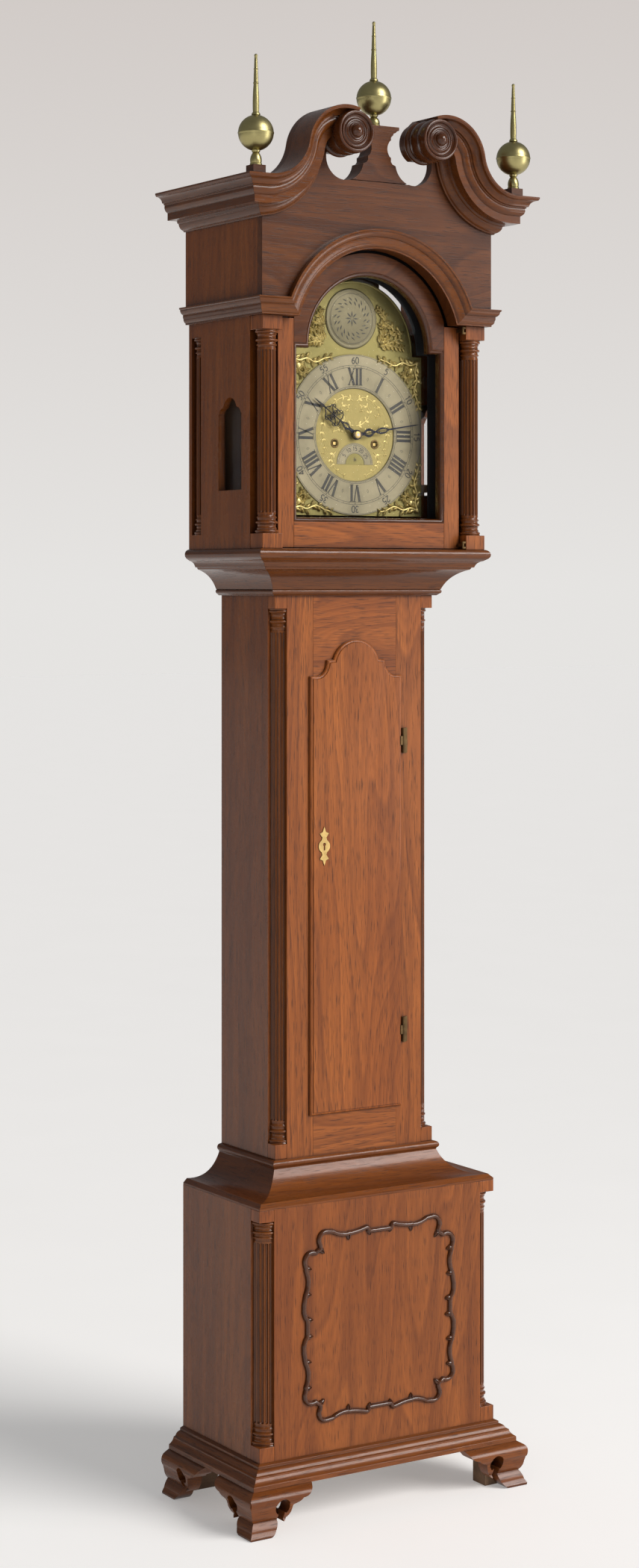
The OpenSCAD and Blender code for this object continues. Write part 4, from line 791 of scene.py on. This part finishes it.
def ribbon(s, pts, width, d0, d1):
    """Flat stroke of a set width, or of a width for each point."""
    left, right = [], []
    m = len(pts)
    for i, (x, z) in enumerate(pts):
        a, b = pts[max(i - 1, 0)], pts[min(i + 1, m - 1)]
        ex, ez = b[0] - a[0], b[1] - a[1]
        e = hypot(ex, ez) or 1
        w = (width[i] if isinstance(width, (list, tuple)) else width) / 2
        left.append((x - ez / e * w, z + ex / e * w))
        right.append((x + ez / e * w, z - ex / e * w))
    base = len(s.v)
    for d in (d0, d1):
        s.v += [(x, d, z) for x, z in left] + [(x, d, z) for x, z in right]
    for i in range(m - 1):
        a, b = base + i, base + m + i
        c, e = a + 2 * m, b + 2 * m
        s.f += [(c, c + 1, e + 1, e), (a, b, b + 1, a + 1), (a, a + 1, c + 1, c),
                (b, e, e + 1, b + 1)]
    for i in (0, m - 1):
        s.f.append((base + i, base + m + i, base + 3 * m + i, base + 2 * m + i))
    return s


def placed(pts, angle, r):
    """Local (across, up) points set at a radius on the ring, up pointing outwards."""
    a = radians(angle)
    c, t = cos(a), sin(a)
    return [(x * c + (r + y) * t, DIAL_Z - x * t + (r + y) * c) for x, y in pts]


WIND_X, WIND_Z = 41.5, DIAL_Z - 15.5


def dial_holes(r):
    """Winding holes of a radius, and the hole for the hands."""
    return [arc((x, z), h, 0, 360, 32)[:-1]
            for x, z, h in ((-WIND_X, WIND_Z, r), (WIND_X, WIND_Z, r), (0, DIAL_Z, 6))]


plate = Shape().prism(
    [(-141, DIAL_Z - 141), (141, DIAL_Z - 141), (141, DIAL_Z + 141), (121, DIAL_Z + 141)]
    + arc((0, ARCH_Z), 121, 0, 180, 72) + [(-121, DIAL_Z + 141), (-141, DIAL_Z + 141)],
    FD - 2, FD, dial_holes(5.5))
plate.piece("dial_plate_brass", "plate", "case", BR, "dial_plate", bevel=0.3)
posts = Shape()
for e in (-1, 1):
    for z in (DIAL_Z - 60, DIAL_Z + 70):
        posts.lathe([(0, 0), (3, 0), (3, 28), (0, 28)], (e * 52, 150, z), "d", 20)
posts.piece("dial_posts", "brass", "case", BR, "dial_plate")

# Engraved centre: a thin matted disc with leaf scrolls standing just proud of it
Shape().prism(arc((0, DIAL_Z), 80.6, 0, 360, 128)[:-1], FD, FD + 0.25, dial_holes(6.2)).piece(
    "dial_centre", "centre", "case", BR, "dial_plate")


def vine(s, pts, width, d, leaves, side, size, thick):
    """Scrolling stem with leaves to both sides, in low relief on the depth d."""
    path = spline(pts, 8)
    m = len(path) - 1
    s.tube([(x, d, z) for x, z in path], width, 8, thick / width,
           taper=lambda t: max(0.25, 1 - 0.6 * t))
    for i in range(leaves):
        k = int(m * (i + 0.7) / leaves)
        a, b = path[max(k - 1, 0)], path[min(k + 1, m)]
        turn = degrees(atan2(b[1] - a[1], b[0] - a[0]))
        for e in (-1, 1):
            grow = size * (1 - 0.45 * i / leaves)
            leaf(s, path[k][0], path[k][1], d - 0.1, turn + e * 48 * side, grow, grow * 0.26,
                 thick)
    return s


relief = Shape()
for e in (-1, 1):
    for width, leaves, side, size, pts in (
            (0.9, 6, 1, 9, [(3, 16), (16, 20), (30, 34), (26, 50), (14, 50), (14, 42)]),
            (0.8, 6, -1, 8, [(4, 60), (20, 66), (42, 56), (52, 40), (44, 32)]),
            (0.8, 5, 1, 8, [(62, 26), (68, 4), (62, -20), (64, -34)]),
            (0.8, 4, 1, 7, [(18, 2), (28, 10), (42, 6), (52, 14)]),
            (0.8, 5, -1, 8, [(40, -30), (50, -44), (40, -60), (20, -72)])):
        vine(relief, [(e * x, DIAL_Z + z) for x, z in pts], width, FD + 0.3, leaves, e * side,
             size, 0.8)
relief.piece("centre_engraving", "cast", "case", BR, "dial_plate", angle=50)
collars = Shape()
for e in (-1, 1):
    collars.lathe([(5.6, 0), (5.6, 0.9), (6.4, 1.3), (7.4, 1.2), (8.2, 0.7), (8.4, 0.2),
                   (8.4, 0)], (e * WIND_X, FD, WIND_Z), "d", 40)
collars.piece("winding_collars", "aged", "case", BR, "dial_plate")

# Chapter ring with its numerals and minute track filled with black wax
rim = Shape().lathe([(81, 0), (81, 1.6), (81.5, 2), (140, 2), (140.5, 1.5), (140.5, 0)],
                    (0, FD, DIAL_Z), "d", 180)
rim.piece("ring_silvered", "silver", "case", "silvered", "chapter_ring")
E0, E1 = FD + 1.95, FD + 2.12
ink = Shape()


STROKES = {
    "I": (7.6, [([(0, 0), (0, 30)], 5.0), ([(-3.8, 0.5), (3.8, 0.5)], 1.1),
                ([(-3.8, 29.5), (3.8, 29.5)], 1.1)]),
    "V": (15.0, [([(-5.4, 30), (0.2, 0.8)], 5.0), ([(5.8, 30), (0.8, 0.8)], 2.0),
                 ([(-8.4, 29.5), (-2, 29.5)], 1.1), ([(3, 29.5), (8.2, 29.5)], 1.1)]),
    "X": (15.0, [([(-5.4, 30), (5.4, 0)], 5.0), ([(5.4, 30), (-5.4, 0)], 2.0),
                 ([(-8.4, 29.5), (-2.2, 29.5)], 1.1), ([(2.6, 29.5), (8.2, 29.5)], 1.1),
                 ([(-8.2, 0.5), (-2.6, 0.5)], 1.1), ([(2.2, 0.5), (8.4, 0.5)], 1.1)]),
}
ROMAN = ["XII", "I", "II", "III", "IIII", "V", "VI", "VII", "VIII", "IX", "X", "XI"]
for hour, text in enumerate(ROMAN):
    x = -sum(STROKES[c][0] for c in text) / 2
    for c in text:
        w, parts = STROKES[c]
        for pts, wide in parts:
            pts = [(x + w / 2 + px, py) for px, py in pts]
            ribbon(ink, placed(pts, hour * 30, 86.5), wide, E0, E1)
        x += w
DIGITS = {
    "0": [[(0.6, 3.5), (1.4, 6.6), (2.6, 7), (3.9, 6), (4.4, 3.5), (3.8, 0.8), (2.5, 0),
           (1.2, 0.7), (0.6, 3.5)]],
    "1": [[(1.4, 5.4), (2.6, 7), (2.6, 0)]],
    "2": [[(0.8, 5.4), (1.6, 6.9), (3.4, 6.8), (4.1, 5.2), (2.8, 2.9), (0.8, 0.2)],
          [(0.8, 0.2), (4.4, 0.2)]],
    "3": [[(0.9, 6.1), (2.4, 7), (3.9, 5.6), (2.2, 3.9)],
          [(2.2, 3.9), (4.3, 2.4), (3.2, 0.2), (0.8, 0.8)]],
    "4": [[(3.4, 0), (3.4, 7)], [(3.4, 7), (0.4, 2)], [(0.4, 2), (4.6, 2)]],
    "5": [[(4, 6.9), (1.2, 6.9)], [(1.2, 6.9), (1, 4)],
          [(1, 4), (3, 4.5), (4.3, 2.6), (3, 0.2), (0.8, 0.6)]],
    "6": [[(3.8, 6.9), (1.6, 5), (0.8, 2.4), (2.2, 0), (4.1, 1.6), (3, 3.9), (1, 2.8)]],
}


def number(s, text, scale, set_at, d0, d1):
    """Figures of the digit strokes, put in place by set_at."""
    wide = 5.0
    x = -wide * len(text) / 2
    for c in text:
        for line in DIGITS[c]:
            pts = spline(line, 5) if len(line) > 2 else line
            ribbon(s, set_at([((x + px) * scale, py * scale) for px, py in pts]),
                   1.15 * scale, d0, d1)
        x += wide


for i in range(1, 13):
    number(ink, str(5 * i), 1.6, lambda pts, a=30 * i: placed(pts, a, 124.2), E0, E1)
for i in range(60):
    ribbon(ink, placed([(0, 118), (0, 121.6)], 6 * i, 0), 1.2 if i % 5 == 0 else 0.5, E0, E1)
for i in range(48):
    ribbon(ink, placed([(0, 82.6), (0, 84.6)], 7.5 * i, 0), 0.4, E0, E1)
for r in (118, 121.6, 82.4, 84.8, 138.6):
    ink.lathe([(r - 0.3, 1.95), (r - 0.3, 2.12), (r + 0.3, 2.12), (r + 0.3, 1.95)],
              (0, FD, DIAL_Z), "d", 180)
for i in range(12):
    a = 30 * i + 15
    for e in (-1, 1):
        ribbon(ink, placed([(-1.6, 101), (0, 101 + e * 3.4), (1.6, 101)], a, 0), 0.6, E0, E1)
ink.piece("ring_engraving", "wax", "case", "black_paint", "chapter_ring")

# Calendar: silvered half ring with its scale, and a brass half disc with a star
CZ = DIAL_Z - 51.5
half_ring = arc((0, CZ), 37.5, 0, 180, 48) + arc((0, CZ), 19.5, 180, 0, 30)
Shape().prism(half_ring, FD + 0.2, FD + 1).piece(
    "calendar_ring", "silver", "case", "silvered", "chapter_ring", bevel=0.2)
cal = Shape()
C0, C1 = FD + 0.95, FD + 1.1
for i in range(31):
    a = radians(6 + 168 * i / 30)
    inner = 33.6 if i % 5 else 32
    ribbon(cal, [(inner * cos(a), CZ + inner * sin(a)),
                 (36 * cos(a), CZ + 36 * sin(a))], 0.45, C0, C1)
for r in (21, 36.2, 33.4):
    ribbon(cal, arc((0, CZ), r, 2, 178, 40), 0.4, C0, C1)
for text, a in (("25", 34), ("20", 62), ("15", 90), ("10", 118), ("5", 146)):
    q = radians(a)
    c, t = sin(q), -cos(q)
    number(cal, text, 0.95, lambda pts, c=c, t=t, q=q: [
        (24 * cos(q) + x * c + y * cos(q),
         CZ + 24 * sin(q) + x * t + y * sin(q)) for x, y in pts], C0, C1)
cal.piece("calendar_scale", "wax", "case", "black_paint", "chapter_ring")
Shape().prism(arc((0, CZ), 19, 0, 180, 40), FD + 0.2, FD + 0.8).piece(
    "calendar_half_disc", "plate", "case", BR, "dial_plate", bevel=0.15)
star = Shape()
for i in range(8):
    a = radians(i * 45 + 22.5)
    star.rings([[(0, FD + 1.5, CZ + 8.5)] * 3,
                [(r * cos(q), FD + 0.8, CZ + 8.5 + r * sin(q))
                 for r, q in ((2, a - 0.39), (6.4, a), (2, a + 0.39))]], closed=False)
star.piece("calendar_star", "silver", "case", "silvered", "dial_plate", angle=10)

# Silvered disc in the arch, engraved with a ring of leaves round an eight-petalled rose
BX, BZ = -8.0, 2050.0
Shape().lathe([(0, 3.9), (20, 3.7), (40, 2.9), (46, 2.3), (47, 2.0), (48, 2.2), (50, 2.4),
               (51.6, 2.1), (52.6, 1.3), (53, 0.6), (53, 0)][::-1],
              (BX, FD, BZ), "d", 120).piece("arch_disc", "disc", "case", "silvered", "name_disc")
wreath = Shape().lathe([(43.4, 2.5), (43.4, 2.75), (44, 2.72), (44, 2.4)], (BX, FD, BZ), "d", 96)
for i in range(36):
    a = radians(i * 10)
    lean = 0.16 if i % 2 else -0.16
    r0, r1 = (31.5, 37.5) if i % 2 else (30.5, 24.5)
    path = [(BX + r * cos(a + lean * t), BZ + r * sin(a + lean * t))
            for r, t in ((r0, 0), (0.6 * r0 + 0.4 * r1, 0.35), (r1, 1))]
    ribbon(wreath, path, [0.5, 2.3, 0.4], FD + 2.6, FD + (3.5 if i % 2 else 3.85))
for i in range(8):
    a = radians(i * 45)
    path = [(BX + r * cos(a), BZ + r * sin(a)) for r in (2.5, 7.5, 13)]
    ribbon(wreath, path, [0.5, 2.8, 0.4], FD + 3, FD + 4.1)
wreath.piece("arch_disc_engraving", "wax", "case", "black_paint", "name_disc")

# Cast corner ornaments
cast = Shape()
for sx in (-1, 1):
    for sz in (-1, 1):
        def put(x, z):
            return sx * (138 - x), DIAL_Z + sz * (138 - z)
        for a in (-1, 1):
            for width, d, leaves, size, thick, pts in (
                    (2.6, 1.4, 7, 15, 3.2,
                     [(6, 6), (12, 22), (8, 38), (14, 56), (7, 74), (4, 88)]),
                    (2.2, 1.6, 5, 11, 3.4,
                     [(14, 14), (22, 30), (34, 34), (38, 26), (30, 21), (26, 26)])):
                vine(cast, [put(*p[::a]) for p in pts], width, FD + d, leaves, sx * sz * a,
                     size, thick)
        for inset, n, prof in ((21, 24, [(6.2, 0.6), (5.6, 2.6), (3.4, 4.1), (0, 4.6)]),
                               (8, 20, [(5.4, 0), (5, 1.6), (3, 3.6), (0, 4.2)])):
            x, z = put(inset, inset)
            cast.lathe(prof, (x, FD + 0.4, z), "d", n)
for e, x0, grow in ((-1, -66, 0.86), (1, 52, 1.12)):
    def arch_put(x, z):
        return x0 + e * x * grow, ARCH_Z + 3 + z
    for pts in ([(0, 6), (16, 8), (32, 6), (44, 4)], [(0, 10), (6, 26), (2, 44), (-6, 62)],
                [(4, 12), (18, 20), (24, 36), (14, 44), (8, 34), (14, 28)],
                [(8, 8), (26, 16), (38, 22), (36, 34), (28, 32)],
                [(2, 40), (10, 52), (4, 64), (-6, 72)]):
        pts = [arch_put(x, z) for x, z in pts]
        pts = [p for p in pts if hypot(p[0] - BX, p[1] - BZ) > 57
               and hypot(p[0], p[1] - ARCH_Z) < 114]
        if len(pts) > 2:
            vine(cast, pts, 2.5, FD + 1.4, 6, e, 13, 3.2)
cast.piece("cast_spandrels", "cast", "case", BR, "spandrels", angle=55)

# Brass rim round the arch of the dial
Shape().tube([(x, FD, z) for x, z in arc((0, ARCH_Z), 118.6, 0, 180, 90)], 2.0, 10, 0.7).piece(
    "arch_rim", "plate", "case", BR, "dial_plate", angle=60)

# --- hands ---


def hand(name, node, half, holes, angle, d0, d1, body, extra):
    """Pierced hand: a mirrored half outline turned to its hour, with thin straps."""
    c, t = cos(radians(angle)), sin(radians(angle))

    def turned(pts):
        return [(x * c + z * t, DIAL_Z - x * t + z * c) for x, z in pts]

    outline = half + flip([p for p in half if p[0] > 0])
    s = Shape().prism(turned(outline), d0, d1, holes=[turned(h) for h in holes])
    for pts, w in extra:
        ribbon(s, turned(pts), w, d0 + 0.1, d1 - 0.1)
    s.piece(name, "blued", body, "blued_steel", node, bevel=0.25)


minute_half = (arc((0, 0), 8.5, -90, 62, 18) + [(2.6, 12)] + bow((2.4, 14), (2.6, 34), -5.4, 14)
               + [(1.6, 37.5)] + bow((1.6, 39), (1.4, 66), -4.2, 14)
               + [(1.1, 69), (1.7, 72), (1.2, 76), (1.0, 122), (0.0, 132)])


def slot_hole(z0, z1, w):
    side = bow((0.55, z0), (0.55, z1), -w, 10)
    return side + flip(side)


hand("minute_pointer", "minute_hand", minute_half,
     [slot_hole(17, 31.5, 2.9), slot_hole(42, 63, 2.1)], 80.5, FD + 9, FD + 10.2, "minute",
     extra=[([(0, 16), (0, 33)], 0.9), ([(0, 41), (0, 64)], 0.8)])
hour_half = (arc((0, 0), 9, -90, 66, 18) + [(2.8, 14), (2.4, 18)]
             + bow((2.4, 18), (2.2, 34), -3.6, 12) + [(1.7, 37), (1.7, 41), (1.2, 43), (0, 43)])
straps = [([(0, 42), (0, 82)], 1.7), ([(-12, 57), (12, 57)], 1.3)]
for e in (-1, 1):
    straps += [(spline([(0, 42), (e * 7, 41), (e * 13, 43.5), (e * 12, 50), (e * 12.6, 57),
                        (e * 12, 64), (e * 13, 70), (e * 7, 73), (0, 79)], 6), 1.6),
               (spline([(e * 12, 46), (e * 6, 50), (0, 57), (e * 6, 64), (e * 12, 69)], 6), 1.3),
               (spline([(e * 12.6, 70), (e * 16, 67), (e * 14.6, 63), (e * 11.5, 64)], 6), 1.3),
               (spline([(e * 12.6, 44), (e * 16, 47), (e * 14.6, 51), (e * 11.5, 50)], 6), 1.3),
               (arc((e * 6.2, 57), 3.4, 0, 360, 20), 1.1)]
straps.append(([(0, 79), (0, 84), (0, 106)], [2.2, 4.4, 0.5]))
hand("hour_pointer", "hour_hand", hour_half, [slot_hole(20, 33, 1.7)], -54.5,
     FD + 5.5, FD + 7.1, "hour", extra=straps)
hub = Shape()
for r, low, high in ((2.5, -2, 3.6), (2.6, -26, -2)):
    hub.lathe([(r, low), (4.6, low), (4.6, high), (r, high)], (0, FD + 4, DIAL_Z), "d", 40)
hub.piece("hour_pipe", "steel", "hour", "steel", "hour_hand")
boss = Shape().lathe([(6.4, 0), (6.4, 0.5), (5.4, 1.4), (3.6, 1.7), (2.5, 1.7), (2.5, 0)],
                     (0, FD + 10.2, DIAL_Z), "d", 40)
boss.piece("minute_collet", "brass", "minute", BR, "minute_hand")

# --- finials ---


def finial(s, x, d, z, foot, neck, ball, spire):
    """Turned foot, ball and spire; the spire's bands stand at shares of its height."""
    bz = neck + ball * 0.97
    top = bz + ball - 1

    def up(share):
        return top + spire * share

    prof = ([(0, 0), (foot, 0), (foot, 2.4), (foot - 0.8, 3.4)]
            + bow((foot - 1, 3.6), (5.2, neck - 4), -2, 16) + [(6.6, neck - 3), (7, neck - 1.6)]
            + arc((0, bz), ball, -76, -4, 26) + [(ball + 0.5, bz - 1), (ball + 0.5, bz + 1)]
            + arc((0, bz), ball, 4, 76, 26) + [(6.6, top), (7.6, top + 1.2), (7.2, top + 3)]
            + bow((5.2, top + 6), (4.0, up(0.5)), -0.7, 8)
            + [(4.0, up(0.515)), (4.7, up(0.52)), (4.7, up(0.53)), (3.9, up(0.54))]
            + bow((3.8, up(0.56)), (3.2, up(0.74)), -0.1, 4)
            + [(3.8, up(0.745)), (3.8, up(0.755)), (3.1, up(0.765))]
            + bow((3.0, up(0.78)), (2.4, top + spire - 5), -0.1, 4)
            + [(2.9, top + spire - 4), (2.8, top + spire - 2), (1.4, top + spire - 0.4),
               (0, top + spire)])
    s.lathe(prof, (x, d, z), "z", 72)


side_f = Shape()
for e in (-1, 1):
    finial(side_f, e * 265, 286, CORNICE + 16, 10.3, 25, 29.8, 103)
side_f.piece("side_finials_brass", "finial", "hood", BR, "side_finials")
mid_f = Shape()
finial(mid_f, 0, FRIEZE_D - 18, CUT_Z + 61, 11, 20, 30, 104)
mid_f.piece("centre_finial_brass", "finial", "hood", BR, "centre_finial")

# --- feet ---

foot_face = ([(10, 0), (41, 0), (42.3, 1), (42.5, 4)] + bow((38.5, 11), (31.2, 26), -1, 12)
             + bow((31.2, 26), (38.5, 42), -1.5, 12)[1:]
             + arc((29.5, FOOT_H - 16.5), 14.6, -40, 55, 20) + [(30, FOOT_H), (10, FOOT_H)])
bracket = ([(-2, FOOT_H + 1), (-2, -1), (40, -1), (40, 0)] + bow((40, 0), (57, 22), -3, 10)
           + [(57, 36), (57.5, 38)] + arc((64, 47), 14, 236, -54, 40)
           + [(69, 38), (69, 21)] + bow((70, 21), (84, 47), -3, 12)
           + bow((86, 49), (103, 58), -2, 10) + bow((105, 58), (120, 67), -2, 10)
           + [(128, FOOT_H + 1)])


def solid(pts3, name):
    """Closed mesh, in millimetres, for the cut that shapes a foot."""
    me = bpy.data.meshes.new(name)
    me.from_pydata([Vector(v) for v in pts3.v], [], pts3.f)
    bm = bmesh.new()
    bm.from_mesh(me)
    bmesh.ops.remove_doubles(bm, verts=bm.verts, dist=1e-4)
    bmesh.ops.recalc_face_normals(bm, faces=bm.faces)
    bmesh.ops.triangulate(bm, faces=[f for f in bm.faces if len(f.verts) > 4])
    bm.to_mesh(me)
    bm.free()
    return add_object(name, me)


ogee = solid(Shape().rings([[(x, p, z) for p, z in foot_face] for x in (0.0, 128.0)]), "ogee")
cutter = solid(Shape().prism(bracket, -5, 60), "cutter")
mod = ogee.modifiers.new("cut", "BOOLEAN")
mod.operation = "INTERSECT"
mod.object = cutter
mod.solver = "EXACT"
bpy.context.view_layer.update()
wing = ogee.evaluated_get(bpy.context.evaluated_depsgraph_get()).to_mesh()
wing_v = [tuple(v.co) for v in wing.vertices]
wing_f = [tuple(p.vertices) for p in wing.polygons]
bpy.data.objects.remove(ogee)
bpy.data.objects.remove(cutter)
REACH = 42.5
X0 = -BASE_W / 2


def foot_piece(name, place, cut, grain):
    """A foot's wing, mitred where it meets its neighbour, on both sides of the clock."""
    s = Shape()
    s.v, s.f = [place(*v) for v in wing_v], wing_f
    for e, side in ((1, "_left"), (-1, "_right")):
        mitre = cut and (at(e * X0, BASE_D, 0), Vector((e * cut[0], *cut[1:])).normalized())
        s.piece(name + side, grain, "case", W, "feet", bevel=0.5, cut=[mitre] if cut else ())
        s.mirror()


foot_piece("foot_front", lambda x, p, z: (X0 - REACH + x, BASE_D + p, z), (1, -1, 0), "base_x")
# Side and rear wings take the plinth-return walnut, whose lower tone is painted shade
foot_piece("foot_side", lambda x, p, z: (X0 - p, BASE_D + REACH - x, z), (-1, 1, 0), "base_y")
foot_piece("foot_rear", lambda x, p, z: (X0 - p, x, z), None, "base_y")
glue = Shape()
glue.slab(X0 - 11, X0 + 26, BASE_D - 26, BASE_D + 11, 1, FOOT_H)
glue.slab(X0 - 11, X0 + 60, 0, 18, 1, FOOT_H)
glue.copy_flipped().piece("glue_blocks", "raw_x", "case", W, "feet")

# --- backboard ---

planks = Shape()
for z0, z1, edges in ((FOOT_H + 14, BASE_TOP, (-227.5, -80.4, -79.6, 79.6, 80.4, 227.5)),
                      (BASE_TOP, 1750, (-149.4, -0.4, 0.4, 149.4)),
                      (1750, 2180, (-163, -0.4, 0.4, 163))):
    for x0, x1 in zip(edges[::2], edges[1::2]):
        planks.slab(x0, x1, 0, 12, z0, z1)
planks.piece("back_planks", "raw_z", "case", "secondary_wood", "backboard", bevel=0.4)

# --- gut lines ---

LINE_X, LINE_D, SEAT_Z, LINE_L, FALL = 87.4, 118, 1750, 870, 20.9
for side, node, joint in ((-1, "going_line", "going_weight_rise"),
                          (1, "strike_line", "strike_weight_rise")):
    s = Shape()
    for dx in (-FALL, FALL):
        path = [(side * LINE_X + dx + 0.12 * sin(i * 1.3), LINE_D + 0.12 * cos(i * 0.9),
                 SEAT_Z - LINE_L + LINE_L * i / 40) for i in range(41)]
        s.rings([[(x + 0.62 * cos(k), d + 0.62 * sin(k), z)
                  for k in (tau * j / 10 for j in range(10))] for x, d, z in path])
    ob = s.piece(node + "_gut", "gut", "case", "gut", node, angle=60)
    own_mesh(ob)

# --- stage, light and camera ---


def quad(name, corners, mat):
    me = bpy.data.meshes.new(name)
    me.from_pydata(corners, [], [(0, 1, 2, 3)])
    me.materials.append(mat)
    return add_object(name, me)


def lamp(name, place, aim, power, size=(0.9, 2.4)):
    li = bpy.data.lights.new(name, "AREA")
    li.shape = "RECTANGLE"
    li.size, li.size_y = size
    li.energy = power
    ob = add_object(name, li)
    ob.location = place
    ob.rotation_euler = (Vector(aim) - Vector(place)).to_track_quat("-Z", "Y").to_euler()


floor = Tree("floor")
cloth = floor.noise(floor.coords(), 3.0, 4.0)
floor_mat = floor.finish(floor.mix(cloth, (0.80, 0.785, 0.77), (0.84, 0.825, 0.81)), 0.75,
                         Emission_Color=(1.0, 0.985, 0.965), Emission_Strength=0.275)
quad("floor", [(-40, -40, 0), (40, -40, 0), (40, 40, 0), (-40, 40, 0)], floor_mat)

sun = bpy.data.lights.new("sun", "SUN")
sun.energy = 2.7
sun.angle = radians(34)
sun.color = (1, 0.985, 0.965)
sun_ob = add_object("sun", sun)
sun_ob.rotation_euler = Vector((-0.42, 0.80, -0.55)).to_track_quat("-Z", "Y").to_euler()
lamp("box_left", (-2.6, -2.6, 1.9), (0, 0, 1.4), 5)
lamp("box_right", (2.4, -2.2, 1.9), (0, 0, 1.5), 34)

# Pale backdrop for the camera, a weaker fill for everything else
world = bpy.data.worlds.new("studio")
bpy.context.scene.world = world
world.use_nodes = True
wt = world.node_tree
bg = wt.nodes["Background"]
bg.inputs["Color"].default_value = (0.95, 0.97, 1.0, 1)
bg.inputs["Strength"].default_value = 0.22
seen = wt.nodes.new("ShaderNodeBackground")
height = wt.nodes.new("ShaderNodeSeparateXYZ")
wt.links.new(wt.nodes.new("ShaderNodeTexCoord").outputs["Generated"], height.inputs[0])
fade = wt.nodes.new("ShaderNodeValToRGB")
fade.color_ramp.elements[0].color = (0.787, 0.773, 0.756, 1)
fade.color_ramp.elements[1].position = 0.22
fade.color_ramp.elements[1].color = (0.63, 0.585, 0.56, 1)
wt.links.new(height.outputs["Z"], fade.inputs[0])
wt.links.new(fade.outputs[0], seen.inputs["Color"])
path = wt.nodes.new("ShaderNodeLightPath")
both = wt.nodes.new("ShaderNodeMixShader")
wt.links.new(path.outputs["Is Camera Ray"], both.inputs[0])
wt.links.new(bg.outputs[0], both.inputs[1])
wt.links.new(seen.outputs[0], both.inputs[2])
wt.links.new(both.outputs[0], wt.nodes["World Output"].inputs[0])

cam = bpy.data.cameras.new("camera")
cam.lens = 65.13
cam.shift_y = -0.1269
cam_ob = add_object("camera", cam)
cam_ob.location = (-2.7025, -4.1632, 1.5857)
cam_ob.rotation_euler = (pi / 2, 0, -0.565)
bpy.context.scene.camera = cam_ob
bpy.context.scene.view_settings.view_transform = "Standard"
